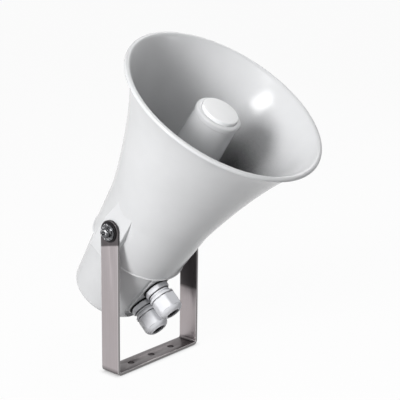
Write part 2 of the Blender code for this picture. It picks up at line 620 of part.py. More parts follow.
def make_bell(horn):
    """Flared moulding with rim, pivot bosses, skirt, bulkhead and screw posts."""
    rim_centre = (MOUTH_STATION - RIM_RADIUS, MOUTH_RADIUS - RIM_RADIUS)
    outline = [(SKIRT_STATION, 0), (SKIRT_STATION, SKIRT_RADIUS - SKIRT_EDGE),
               (SKIRT_STATION + SKIRT_EDGE, SKIRT_RADIUS)]
    outline += flare_outline(0.0)[:-1] + arc(rim_centre, RIM_RADIUS, 144, 0, 4)
    outline += [(MOUTH_STATION, 0)]
    bell = body("bell", turned(outline, BIG_STEPS), FINISH["shell"], horn, sharp=40)

    for side, name in ((-1, "right"), (1, "left")):
        mesh = bmesh.new()
        low, high = sorted((side * (CHAMBER_RADIUS + BELL_WALL / 2), side * BOSS_FACE))
        add_block(mesh, (SKIRT_STATION, low, AXIS_DROP - BOSS_HALF_HEIGHT),
                  (BOSS_FRONT, high, AXIS_DROP + BOSS_HALF_HEIGHT))
        boss = guide("boss_guide_" + name, mesh, horn)
        bevel = boss.modifiers.new("edge", "BEVEL")
        bevel.width = BOSS_EDGE
        bevel.segments = 1
        combine(bell, boss, "UNION")

    front = BULKHEAD_FRONT
    inner = flare_outline(BELL_WALL)
    root = (front + BULKHEAD_FILLET, inner[0][1] - BULKHEAD_FILLET)
    lip = inner[-1]
    lip_round = RIM_RADIUS * 0.6
    cavity = [(front, 0)] + arc(root, BULKHEAD_FILLET, 180, 90, 2) + inner[:-1]
    cavity += [(MOUTH_STATION - lip_round, lip[1]), (MOUTH_STATION, lip[1] + lip_round),
               (MOUTH_STATION + PAST, lip[1] + lip_round), (MOUTH_STATION + PAST, 0)]
    combine(bell, guide("bell_cavity_guide", turned(cavity, BIG_STEPS), horn), "DIFFERENCE")

    chamber = [(SKIRT_STATION - PAST, 0), (SKIRT_STATION - PAST, SOCKET_RADIUS),
               (SOCKET_FLOOR, SOCKET_RADIUS), (SOCKET_FLOOR, CHAMBER_RADIUS),
               (BULKHEAD_REAR, CHAMBER_RADIUS), (BULKHEAD_REAR, 0)]
    combine(bell, guide("bell_chamber_guide", turned(chamber, BIG_STEPS), horn), "DIFFERENCE")

    inside = BULKHEAD_REAR + BULKHEAD_THICKNESS / 2
    corners = round_the_axis(COVER_SCREWS, math.pi / 4)
    for index, angle in enumerate(corners, 1):
        mesh = bmesh.new()
        add_rod(mesh, at_angle(CHASSIS_STATION, COVER_SCREW_PITCH_RADIUS, angle),
                at_angle(inside, COVER_SCREW_PITCH_RADIUS, angle), BELL_POST_RADIUS, POST_STEPS)
        combine(bell, guide("bell_post_guide_%d" % index, mesh, horn), "UNION")
        mesh = bmesh.new()
        add_block(mesh, (SOCKET_FLOOR + BELL_WALL, COVER_SCREW_PITCH_RADIUS, -POST_WEB / 2),
                  (inside, CHAMBER_RADIUS + BELL_WALL / 2, POST_WEB / 2),
                  Matrix.Rotation(angle, 4, "X"))
        combine(bell, guide("bell_web_guide_%d" % index, mesh, horn), "UNION")

    mesh = bmesh.new()
    add_rod(mesh, (BULKHEAD_REAR - PAST, 0, 0), (front + PAST, 0, 0),
            tone_outer_radius(front) + GAP, MID_STEPS)
    add_rods_round(mesh, CHASSIS_STATION - PAST, CHASSIS_STATION + COVER_SCREW_BITE + GAP,
                   COVER_SCREW_PITCH_RADIUS, COVER_SCREW_RADIUS + GAP, corners, TINY_STEPS)
    add_rods_round(mesh, BULKHEAD_REAR - PAST, BULKHEAD_REAR + DRIVER_SCREW_BITE + GAP,
                   DRIVER_SCREW_PITCH_RADIUS, DRIVER_SCREW_RADIUS + GAP,
                   round_the_axis(DRIVER_SCREWS), TINY_STEPS)
    combine(bell, guide("bell_holes_guide", mesh, horn), "DIFFERENCE")

    for side, name in ((-1, "right"), (1, "left")):
        outward = math.pi / 2 if side > 0 else -math.pi / 2
        flange_floor = -INSERT_FLANGE_THICKNESS - 2 * GAP
        pocket = [(PAST, 0), (PAST, INSERT_FLANGE_RADIUS + GAP),
                  (flange_floor, INSERT_FLANGE_RADIUS + GAP), (flange_floor, INSERT_RADIUS + GAP),
                  (-INSERT_LENGTH - 2 * GAP, INSERT_RADIUS + GAP), (-INSERT_LENGTH - 2 * GAP, 0)]
        pocket_guide = guide("insert_pocket_guide_" + name, turned(pocket, PIVOT_STEPS), horn,
                             (0, side * BOSS_FACE, AXIS_DROP), (0, 0, outward))
        combine(bell, pocket_guide, "DIFFERENCE")


def reflector_radius(station):
    """Outer radius of the tapered cup."""
    share = (station - REFLECTOR_REAR) / (REFLECTOR_NECK_STATION - REFLECTOR_REAR)
    return REFLECTOR_REAR_RADIUS + (REFLECTOR_NECK_RADIUS - REFLECTOR_REAR_RADIUS) * share


def make_reflector(horn):
    """The closed cup that turns the sound back, with its plug and screw."""
    seat = REFLECTOR_FRONT - PLUG_SEAT_DEPTH
    head_floor = seat - REFLECTOR_SCREW_SINK
    rear_wall = REFLECTOR_REAR_RADIUS - REFLECTOR_WALL
    bend = TONE_MOUTH_STATION + REFLECTOR_TURN_ROOM
    bend_radius = reflector_radius(bend) - REFLECTOR_WALL
    middle = (bend_radius + REFLECTOR_BOSS_RADIUS) / 2
    hollow = (bend_radius - REFLECTOR_BOSS_RADIUS) / 2
    bore = REFLECTOR_SCREW_RADIUS + GAP
    boss_end = TONE_MOUTH_STATION + GAP
    turn_points = [(bend + (x - bend) * 0.75, r) for x, r in arc((bend, middle), hollow, 90, -90, 4)]
    outline = [
        (REFLECTOR_REAR, rear_wall), (REFLECTOR_REAR, REFLECTOR_REAR_RADIUS),
        (REFLECTOR_NECK_STATION, REFLECTOR_NECK_RADIUS),
        (REFLECTOR_NECK_STATION + REFLECTOR_LIP_STEP, REFLECTOR_LIP_RADIUS),
        (REFLECTOR_FRONT - REFLECTOR_SHOULDER, REFLECTOR_LIP_RADIUS),
    ]
    corner = (REFLECTOR_FRONT - REFLECTOR_SHOULDER, REFLECTOR_LIP_RADIUS - REFLECTOR_SHOULDER)
    outline += arc(corner, REFLECTOR_SHOULDER, 72, 0, 3)
    outline += [
        (REFLECTOR_FRONT, PLUG_RADIUS + GAP), (seat, PLUG_RADIUS + GAP),
        (seat, REFLECTOR_SCREW_HEAD_RADIUS + GAP), (head_floor, REFLECTOR_SCREW_HEAD_RADIUS + GAP),
        (head_floor, bore), (boss_end, bore), (boss_end, REFLECTOR_BOSS_RADIUS),
    ]
    outline += turn_points[::-1]
    body("reflector", turned(outline, CUP_STEPS), FINISH["shell"], horn, sharp=30)

    front = REFLECTOR_FRONT + PLUG_PROUD
    rear = seat + GAP
    plug = [(rear, PLUG_RADIUS - PLUG_WALL), (rear, PLUG_RADIUS), (front - PLUG_EDGE, PLUG_RADIUS),
            (front, PLUG_RADIUS - PLUG_EDGE), (front, 0), (front - PLUG_WALL, 0),
            (front - PLUG_WALL, PLUG_RADIUS - PLUG_WALL)]
    body("reflector_plug", turned(plug, CUP_STEPS), FINISH["plug"], horn)

    under_head = head_floor + GAP
    length = under_head - TONE_MOUTH_STATION + TONE_HUB_LENGTH - GAP
    outline = screw_outline(REFLECTOR_SCREW_HEAD_RADIUS, REFLECTOR_SCREW_HEAD_HEIGHT,
                            REFLECTOR_SCREW_RADIUS, length)
    body("reflector_screw", turned(outline, TINY_STEPS), FINISH["bolt"], horn,
         (under_head, 0, 0), (0, 0, math.pi))


def tone_bore_radius(station):
    """Bore of the tone tube, widening evenly from the throat."""
    share = (station - TONE_FLANGE_REAR) / (TONE_MOUTH_STATION - TONE_FLANGE_REAR)
    return THROAT_RADIUS + (TONE_MOUTH_RADIUS - THROAT_RADIUS) * share


def tone_outer_radius(station):
    """Outside of the tone tube."""
    return tone_bore_radius(station) + TONE_WALL


def make_tone_tube(horn):
    """Tube that leads the sound forward, with a flange and a three-armed hub."""
    rear, flange_front = TONE_FLANGE_REAR, TONE_FLANGE_FRONT
    outline = [(rear, THROAT_RADIUS), (rear, DRIVER_RADIUS), (flange_front, DRIVER_RADIUS),
               (flange_front, tone_outer_radius(flange_front)),
               (TONE_MOUTH_STATION, tone_outer_radius(TONE_MOUTH_STATION)),
               (TONE_MOUTH_STATION, TONE_MOUTH_RADIUS)]
    tube = body("tone_tube", turned(outline, MID_STEPS), FINISH["shell"], horn)
    hub_rear = TONE_MOUTH_STATION - TONE_HUB_LENGTH
    hub_front = TONE_MOUTH_STATION
    mesh = bmesh.new()
    add_rod(mesh, (hub_rear, 0, 0), (hub_front, 0, 0), TONE_HUB_RADIUS, 12)
    combine(tube, guide("tone_hub_guide", mesh, horn), "UNION")
    for index, angle in enumerate(round_the_axis(TONE_VANES, math.pi / 2), 1):
        mesh = bmesh.new()
        reach = tone_bore_radius(hub_rear) + TONE_WALL / 2
        add_block(mesh, (hub_rear + GAP, TONE_HUB_RADIUS / 2, -TONE_VANE_THICKNESS / 2),
                  (hub_front - GAP, reach, TONE_VANE_THICKNESS / 2),
                  Matrix.Rotation(angle, 4, "X"))
        combine(tube, guide("tone_vane_guide_%d" % index, mesh, horn), "UNION")
    mesh = bmesh.new()
    add_rod(mesh, (hub_rear - PAST, 0, 0), (hub_front + PAST, 0, 0),
            REFLECTOR_SCREW_RADIUS + GAP, TINY_STEPS)
    add_rods_round(mesh, rear - PAST, flange_front + PAST, DRIVER_SCREW_PITCH_RADIUS,
                   DRIVER_SCREW_RADIUS + GAP, round_the_axis(DRIVER_SCREWS), TINY_STEPS)
    combine(tube, guide("tone_holes_guide", mesh, horn), "DIFFERENCE")


def drill_driver_plate(plate, start, end, horn):
    """The four screw holes of one driver plate."""
    mesh = bmesh.new()
    add_rods_round(mesh, start, end, DRIVER_SCREW_PITCH_RADIUS, DRIVER_SCREW_RADIUS + GAP,
                   round_the_axis(DRIVER_SCREWS), TINY_STEPS)
    combine(plate, guide(plate.name + "_holes_guide", mesh, horn), "DIFFERENCE")


def make_driver(horn, moving):
    """The compression driver behind the bulkhead, front to back."""
    front, rear = THROAT_FRONT, THROAT_REAR
    seat = rear + PHASE_SEAT_DEPTH
    outline = [(front, THROAT_RADIUS), (front, DRIVER_RADIUS), (rear, DRIVER_RADIUS),
               (rear, PHASE_SEAT_RADIUS), (seat, PHASE_SEAT_RADIUS),
               (seat, PHASE_BULLET_RADIUS + PHASE_SLIT)]
    plate = body("throat_plate", turned(outline[::-1], MID_STEPS), FINISH["zinc"], horn)
    drill_driver_plate(plate, rear - PAST, front + PAST, horn)

    ring_front = seat - GAP
    ring_rear = rear + GAP
    ring = ring_outline(ring_rear, ring_front, PHASE_SEAT_RADIUS - GAP - PHASE_RING_WIDTH,
                        PHASE_SEAT_RADIUS - GAP)
    phase = body("phase_plug", turned(ring, MID_STEPS), FINISH["zinc"], horn)
    bullet = [(ring_rear, 0), (ring_rear, PHASE_BULLET_RADIUS), (ring_front, PHASE_BULLET_RADIUS),
              (front - GAP, PHASE_BULLET_TIP), (front - GAP, 0)]
    combine(phase, guide("phase_bullet_guide", turned(bullet, MID_STEPS), horn), "UNION")
    for index, angle in enumerate(round_the_axis(3, math.pi / 2), 1):
        mesh = bmesh.new()
        add_block(mesh, (ring_rear + GAP, PHASE_BULLET_RADIUS / 2, -PHASE_RIB_THICKNESS / 2),
                  (ring_front - GAP, PHASE_SEAT_RADIUS - PHASE_RING_WIDTH / 2,
                   PHASE_RIB_THICKNESS / 2), Matrix.Rotation(angle, 4, "X"))
        combine(phase, guide("phase_rib_guide_%d" % index, mesh, horn), "UNION")

    body("diaphragm", turned(diaphragm_outline(SHEET_FRONT), MID_STEPS), FINISH["film"], moving,
         sharp=60)
    coil = ring_outline(SHEET_REAR - GAP - COIL_LENGTH, SHEET_REAR - GAP, COIL_INNER_RADIUS,
                        COIL_OUTER_RADIUS)
    body("voice_coil", turned(coil, MID_STEPS), FINISH["copper"], moving)

    ring = ring_outline(RING_REAR, RING_FRONT, RING_INNER_RADIUS, DRIVER_RADIUS)
    plate = body("diaphragm_ring", turned(ring, MID_STEPS), FINISH["block"], horn)
    drill_driver_plate(plate, RING_REAR - PAST, RING_FRONT + PAST, horn)

    ring = ring_outline(TOP_PLATE_REAR, TOP_PLATE_FRONT, GAP_OUTER_RADIUS, DRIVER_RADIUS)
    plate = body("top_plate", turned(ring, MID_STEPS), FINISH["steel"], horn)
    drill_driver_plate(plate, TOP_PLATE_REAR - PAST, TOP_PLATE_FRONT + PAST, horn)

    ring = ring_outline(MAGNET_REAR, MAGNET_FRONT, MAGNET_BORE_RADIUS, MAGNET_RADIUS)
    body("ring_magnet", turned(ring, MID_STEPS), FINISH["ferrite"], horn)

    pole_face = SHEET_REAR - DOME_DEPTH - POLE_BACKSET
    outline = [(YOKE_REAR, 0), (YOKE_REAR, MAGNET_RADIUS), (YOKE_FRONT, MAGNET_RADIUS),
               (YOKE_FRONT, POLE_RADIUS), (pole_face, POLE_RADIUS), (pole_face, 0)]
    body("pole_yoke", turned(outline, MID_STEPS), FINISH["steel"], horn)

    under_head = TOP_PLATE_REAR - GAP
    outline = screw_outline(DRIVER_SCREW_HEAD_RADIUS, DRIVER_SCREW_HEAD_HEIGHT,
                            DRIVER_SCREW_RADIUS, BULKHEAD_REAR + DRIVER_SCREW_BITE - under_head)
    for index, angle in enumerate(round_the_axis(DRIVER_SCREWS), 1):
        body("driver_screw_%d" % index, turned(outline, TINY_STEPS), FINISH["bolt"], horn,
             at_angle(under_head, DRIVER_SCREW_PITCH_RADIUS, angle))


def diaphragm_outline(front):
    """A thin dome with a rolled surround and a flat edge."""
    sheet = DIAPHRAGM_SHEET
    face = []
    for step in range(DOME_STEPS + 1):
        share = step / DOME_STEPS
        face.append((front - DOME_DEPTH * (1 - share ** 2), DOME_RADIUS * share))
    start = ROLL_INNER_RADIUS
    for step in range(ROLL_STEPS + 1):
        share = step / ROLL_STEPS
        face.append((front - ROLL_HEIGHT * math.sin(math.pi * share),
                     start + (ROLL_OUTER_RADIUS - start) * share))
    face.append((front, DIAPHRAGM_RADIUS))
    back = [(station - sheet, radius) for station, radius in face]
    return face + back[::-1]


def make_chassis(horn):
    """The plate behind the driver and the parts screwed to it."""
    front, rear = CHASSIS_FRONT, CHASSIS_REAR
    plate = body("chassis_plate", turned([(rear, 0), (rear, CHASSIS_RADIUS),
                                          (front, CHASSIS_RADIUS), (front, 0)], MID_STEPS),
                 FINISH["steel"], horn)
    mesh = bmesh.new()
    add_block(mesh, (rear - PAST, -CHASSIS_RADIUS - PAST, -CHASSIS_RADIUS - PAST),
              (front + PAST, CHASSIS_RADIUS + PAST, CHASSIS_CHORD_ROOM - CHASSIS_RADIUS))
    combine(plate, guide("chassis_chord_guide", mesh, horn), "DIFFERENCE")
    mesh = bmesh.new()
    add_rods_round(mesh, rear - PAST, front + PAST, COVER_SCREW_PITCH_RADIUS,
                   COVER_SCREW_RADIUS + GAP, round_the_axis(COVER_SCREWS, math.pi / 4), TINY_STEPS)
    for side in (-1, 1):
        add_rod(mesh, (rear - PAST, side * frame_screw_offset(), frame_middle()),
                (front + PAST, side * frame_screw_offset(), frame_middle()),
                FRAME_SCREW_RADIUS + GAP, TINY_STEPS)
        add_rod(mesh, (rear - PAST, side * LEAD_SPREAD, LEAD_HEIGHT),
                (front + PAST, side * LEAD_SPREAD, LEAD_HEIGHT), LEAD_RADIUS * 2, 8)
    combine(plate, guide("chassis_holes_guide", mesh, horn), "DIFFERENCE")
    make_transformer(horn, rear)
    make_terminal_block(horn, rear)


def frame_middle():
    """Height of the transformer frame's strap: the middle of the lower yoke."""
    return CORE_LOW + CORE_YOKE / 2


def frame_screw_offset():
    """The frame's screws beside the middle plane."""
    return CORE_HALF_WIDTH + GAP + FRAME_SHEET + FRAME_FOOT / 2


def make_transformer(horn, seat):
    """Line transformer: core with two windows, winding, strap frame, two screws."""
    core_front = seat - GAP - WINDING_BUILD - GAP
    core_rear = core_front - CORE_STACK
    window_low = CORE_LOW + CORE_YOKE
    window_high = window_low + WINDOW_HEIGHT
    mesh = bmesh.new()
    add_block(mesh, (core_rear, -CORE_HALF_WIDTH, CORE_LOW),
              (core_front, CORE_HALF_WIDTH, CORE_LOW + CORE_HEIGHT))
    core = body("transformer_core", mesh, FINISH["iron"], horn)
    mesh = bmesh.new()
    for side in (-1, 1):
        low, high = sorted((side * CORE_LEG, side * (CORE_LEG + WINDOW_WIDTH)))
        add_block(mesh, (core_rear - PAST, low, window_low), (core_front + PAST, high, window_high))
    combine(core, guide("core_windows_guide", mesh, horn), "DIFFERENCE")

    outer = CORE_LEG + WINDOW_WIDTH - GAP
    mesh = bmesh.new()
    add_block(mesh, (core_rear - GAP - WINDING_BUILD, -outer, window_low + GAP),
              (core_front + GAP + WINDING_BUILD - GAP, outer, window_high - GAP))
    winding = body("transformer_winding", mesh, FINISH["copper"], horn)
    bevel = winding.modifiers.new("corners", "BEVEL")
    bevel.width = WINDING_BUILD * 0.4
    bevel.segments = 1
    mesh = bmesh.new()
    add_block(mesh, (core_rear - GAP, -CORE_LEG - GAP, window_low - PAST),
              (core_front + GAP, CORE_LEG + GAP, window_high + PAST))
    combine(winding, guide("winding_bore_guide", mesh, horn), "DIFFERENCE")

    inside = CORE_HALF_WIDTH + GAP
    outside = inside + FRAME_SHEET
    toe = outside + FRAME_FOOT
    foot = seat - GAP
    back = core_rear - GAP
    half_path = [(foot, toe), (foot, inside), (back, inside)]
    outer_path = [(back - FRAME_SHEET, outside), (foot - FRAME_SHEET, outside),
                  (foot - FRAME_SHEET, toe)]
    loop = half_path + [(x, -y) for x, y in half_path[::-1]]
    loop += [(x, -y) for x, y in outer_path[::-1]] + outer_path
    low = frame_middle() - FRAME_WIDTH / 2
    mesh = bmesh.new()
    add_prism(mesh, loop, low, low + FRAME_WIDTH)
    frame = body("transformer_frame", mesh, FINISH["steel"], horn)
    mesh = bmesh.new()
    for side in (-1, 1):
        add_rod(mesh, (foot - FRAME_SHEET - PAST, side * frame_screw_offset(), frame_middle()),
                (foot + PAST, side * frame_screw_offset(), frame_middle()),
                FRAME_SCREW_RADIUS + GAP, TINY_STEPS)
    combine(frame, guide("frame_holes_guide", mesh, horn), "DIFFERENCE")
    under_head = foot - FRAME_SHEET - GAP
    outline = screw_outline(FRAME_SCREW_HEAD_RADIUS, FRAME_SCREW_HEAD_HEIGHT, FRAME_SCREW_RADIUS,
                            seat + CHASSIS_THICKNESS - GAP - under_head)
    for side, name in ((-1, "right"), (1, "left")):
        body("transformer_screw_" + name, turned(outline, TINY_STEPS), FINISH["bolt"], horn,
             (under_head, side * frame_screw_offset(), frame_middle()))


def make_terminal_block(horn, seat):
    """Block with four clamp screws in wells and four wire entries below."""
    front = seat - GAP
    rear = front - TERMINAL_DEPTH
    low = TERMINAL_TOP - TERMINAL_HEIGHT
    middle = TERMINAL_TOP - TERMINAL_HEIGHT / 2
    places = [TERMINAL_PITCH * (index - (TERMINALS - 1) / 2) for index in range(TERMINALS)]
    mesh = bmesh.new()
    add_block(mesh, (rear, -TERMINAL_HALF_WIDTH, low), (front, TERMINAL_HALF_WIDTH, TERMINAL_TOP))
    block = body("terminal_block", mesh, FINISH["block"], horn)
    mesh = bmesh.new()
    well_floor = rear + TERMINAL_WELL_DEPTH
    for place in places:
        add_rod(mesh, (rear - PAST, place, middle), (well_floor, place, middle),
                TERMINAL_WELL_RADIUS + GAP, TINY_STEPS)
    combine(block, guide("terminal_wells_guide", mesh, horn), "DIFFERENCE")
    mesh = bmesh.new()
    entry_station = (well_floor + front) / 2
    for place in places:
        add_rod(mesh, (entry_station, place, low - PAST), (entry_station, place, middle),
                TERMINAL_ENTRY_RADIUS, 8)
    combine(block, guide("terminal_entries_guide", mesh, horn), "DIFFERENCE")
    screw_end = TERMINAL_WELL_DEPTH - TERMINAL_SCREW_SINK - GAP
    outline = [(0, 0), (0, TERMINAL_WELL_RADIUS), (screw_end, TERMINAL_WELL_RADIUS), (screw_end, 0)]
    for index, place in enumerate(places, 1):
        body("terminal_screw_%d" % index, turned(outline, TINY_STEPS), FINISH["bolt"], horn,
             (rear + TERMINAL_SCREW_SINK, place, middle))


def smooth_path(route):
    """Even steps along a smooth curve through the route's points."""
    ends = [route[0] * 2 - route[1]] + route + [route[-1] * 2 - route[-2]]
    path = [route[0]]
    for before, start, end, after in zip(ends, ends[1:], ends[2:], ends[3:]):
        steps = max(1, round((end - start).length / (LEAD_RADIUS * 6)))
        for step in range(1, steps + 1):
            share = step / steps
            path.append((start * 2 + (end - before) * share
                         + (before * 2 - start * 5 + end * 4 - after) * share ** 2
                         + (start * 3 - before - end * 3 + after) * share ** 3) / 2)
    return path


def make_leads(horn):
    """Two leads from the winding, through the chassis plate, to the driver's ring."""
    seat = CHASSIS_REAR
    winding_rear = seat - 3 * GAP - WINDING_BUILD - CORE_STACK - WINDING_BUILD / 2
    window_high = CORE_LOW + CORE_YOKE + WINDOW_HEIGHT
    ring_station = (RING_FRONT + RING_REAR) / 2
    route = [(winding_rear, window_high + GAP), (winding_rear + LEAD_BEND / 4, LEAD_HEIGHT - LEAD_BEND),
             (seat - LEAD_BEND, LEAD_HEIGHT), (CHASSIS_STATION + LEAD_BEND, LEAD_HEIGHT),
             (ring_station - LEAD_BEND / 4, LEAD_HEIGHT - LEAD_BEND / 4),
             (ring_station, DRIVER_RADIUS + GAP)]
    path = smooth_path([Vector((station, height)) for station, height in route])
    for side, name in ((-1, "right"), (1, "left")):
        points = [(point.x, side * LEAD_SPREAD, point.y) for point in path]
        curve = bpy.data.curves.new("driver_lead_" + name, "CURVE")
        curve.dimensions = "3D"
        curve.bevel_depth = LEAD_RADIUS
        curve.bevel_resolution = 2
        curve.use_fill_caps = True
        spline = curve.splines.new("POLY")
        spline.points.add(len(points) - 1)
        for target, point in zip(spline.points, points):
            target.co = (*point, 1.0)
        curve.materials.append(FINISH["lead"])
        lead = bpy.data.objects.new("driver_lead_" + name, curve)
        bpy.context.collection.objects.link(lead)
        lead.parent = horn


def cover_radius(station):
    """Outside of the drum, narrowing evenly from its shoulder to the rear rounding."""
    return COVER_SHOULDER_RADIUS - COVER_DRAFT * (COVER_SHOULDER_STATION - station)


def make_cover(horn, gland_face):
    """Tapered drum with a flat gland seat, screw posts and a spigot for the skirt."""
    shoulder = COVER_SHOULDER_STATION
    spigot_radius = SPIGOT_RADIUS
    round_start = COVER_REAR + COVER_REAR_ROUND
    corner = (round_start, cover_radius(round_start) - COVER_REAR_ROUND)
    outline = [(COVER_REAR, 0)] + arc(corner, COVER_REAR_ROUND, 180, 90, 4)
    outline += [(shoulder, COVER_SHOULDER_RADIUS), (shoulder, spigot_radius),
                (COVER_SPIGOT_STATION, spigot_radius), (COVER_SPIGOT_STATION, 0)]
    cover = body("rear_cover", turned(outline, BIG_STEPS), FINISH["shell"], horn, sharp=40)

    mesh = bmesh.new()
    run_out = COVER_SPIGOT_STATION - GLAND_FACE_STATION + PAST
    seat_edge = [(run_out, -GLAND_FACE_HALF_WIDTH), (run_out, GLAND_FACE_HALF_WIDTH)]
    seat_edge += [(x - GLAND_PITCH / 2, y)
                  for x, y in arc((0, 0), GLAND_FACE_HALF_WIDTH, 90, 270, 8)]
    add_prism(mesh, seat_edge, -COVER_SHOULDER_RADIUS / 4, 0)
    combine(cover, guide("gland_seat_guide", mesh, gland_face), "DIFFERENCE")

    floor = COVER_REAR + COVER_WALL
    cavity = [(floor, 0)] + arc(corner, COVER_REAR_ROUND - COVER_WALL, 180, 90, 2)
    cavity += [(shoulder, spigot_radius - COVER_WALL),
               (COVER_SPIGOT_STATION + PAST, spigot_radius - COVER_WALL),
               (COVER_SPIGOT_STATION + PAST, 0)]
    hollow = guide("cover_cavity_guide", turned(cavity, BIG_STEPS), horn)
    mesh = bmesh.new()
    add_block(mesh, (COVER_REAR - COVER_WALL - GLAND_FACE_STATION,
                     -GLAND_FACE_HALF_WIDTH - COVER_WALL, -COVER_SHOULDER_RADIUS / 4),
              (shoulder - COVER_WALL - GLAND_FACE_STATION,
               GLAND_FACE_HALF_WIDTH + COVER_WALL, COVER_WALL))
    combine(hollow, guide("gland_wall_guide", mesh, gland_face), "DIFFERENCE")
    corners = round_the_axis(COVER_SCREWS, math.pi / 4)
    post_end = CHASSIS_REAR - GAP
    mesh = bmesh.new()
    add_rods_round(mesh, COVER_REAR, post_end, COVER_SCREW_PITCH_RADIUS, COVER_POST_RADIUS,
                   corners, POST_STEPS)
    combine(hollow, guide("cover_posts_guide", mesh, horn), "DIFFERENCE")
    web_end = (COVER_REAR + post_end) / 2
    mesh = bmesh.new()
    for angle in corners:
        add_block(mesh, (COVER_REAR, COVER_SCREW_PITCH_RADIUS, -POST_WEB / 2),
                  (web_end, COVER_SHOULDER_RADIUS, POST_WEB / 2), Matrix.Rotation(angle, 4, "X"))
    combine(hollow, guide("cover_webs_guide", mesh, horn), "DIFFERENCE")
    combine(cover, hollow, "DIFFERENCE")

    mesh = bmesh.new()
    add_rods_round(mesh, COVER_REAR - PAST, COVER_REAR + COVER_SCREW_SINK,
                   COVER_SCREW_PITCH_RADIUS, COVER_SCREW_HEAD_RADIUS + GAP, corners, POST_STEPS)
    combine(cover, guide("cover_pockets_guide", mesh, horn), "DIFFERENCE")
    mesh = bmesh.new()
    add_rods_round(mesh, COVER_REAR, post_end + PAST, COVER_SCREW_PITCH_RADIUS,
                   COVER_SCREW_RADIUS + GAP, corners, TINY_STEPS)
    combine(cover, guide("cover_bores_guide", mesh, horn), "DIFFERENCE")
    mesh = bmesh.new()
    for place in (-GLAND_PITCH / 2, GLAND_PITCH / 2):
        add_rod(mesh, (place, 0, -PAST), (place, 0, COVER_WALL + PAST),
                GLAND_THREAD_RADIUS + GAP, SMALL_STEPS)
    combine(cover, guide("gland_bores_guide", mesh, gland_face), "DIFFERENCE")

    under_head = COVER_REAR + COVER_SCREW_SINK - GAP
    outline = screw_outline(COVER_SCREW_HEAD_RADIUS, COVER_SCREW_HEAD_HEIGHT, COVER_SCREW_RADIUS,
                            CHASSIS_STATION + COVER_SCREW_BITE - under_head)
    for index, angle in enumerate(corners, 1):
        place = at_angle(under_head, COVER_SCREW_PITCH_RADIUS, angle)
        screw = body("cover_screw_%d" % index, turned(outline, TINY_STEPS), FINISH["bolt"], horn,
                     place)
        socket = hex_prism(COVER_SCREW_RADIUS * 1.5, -COVER_SCREW_HEAD_HEIGHT - PAST,
                           -COVER_SCREW_HEAD_HEIGHT / 2)
        combine(screw, guide("screw_socket_guide_%d" % index, socket, horn, place), "DIFFERENCE")

    gasket = ring_outline(COVER_SPIGOT_STATION + GAP, SOCKET_FLOOR - GAP,
                          SOCKET_RADIUS - GAP - GASKET_WIDTH, SOCKET_RADIUS - GAP)
    body("cover_gasket", turned(gasket, BIG_STEPS), FINISH["rubber"], horn)


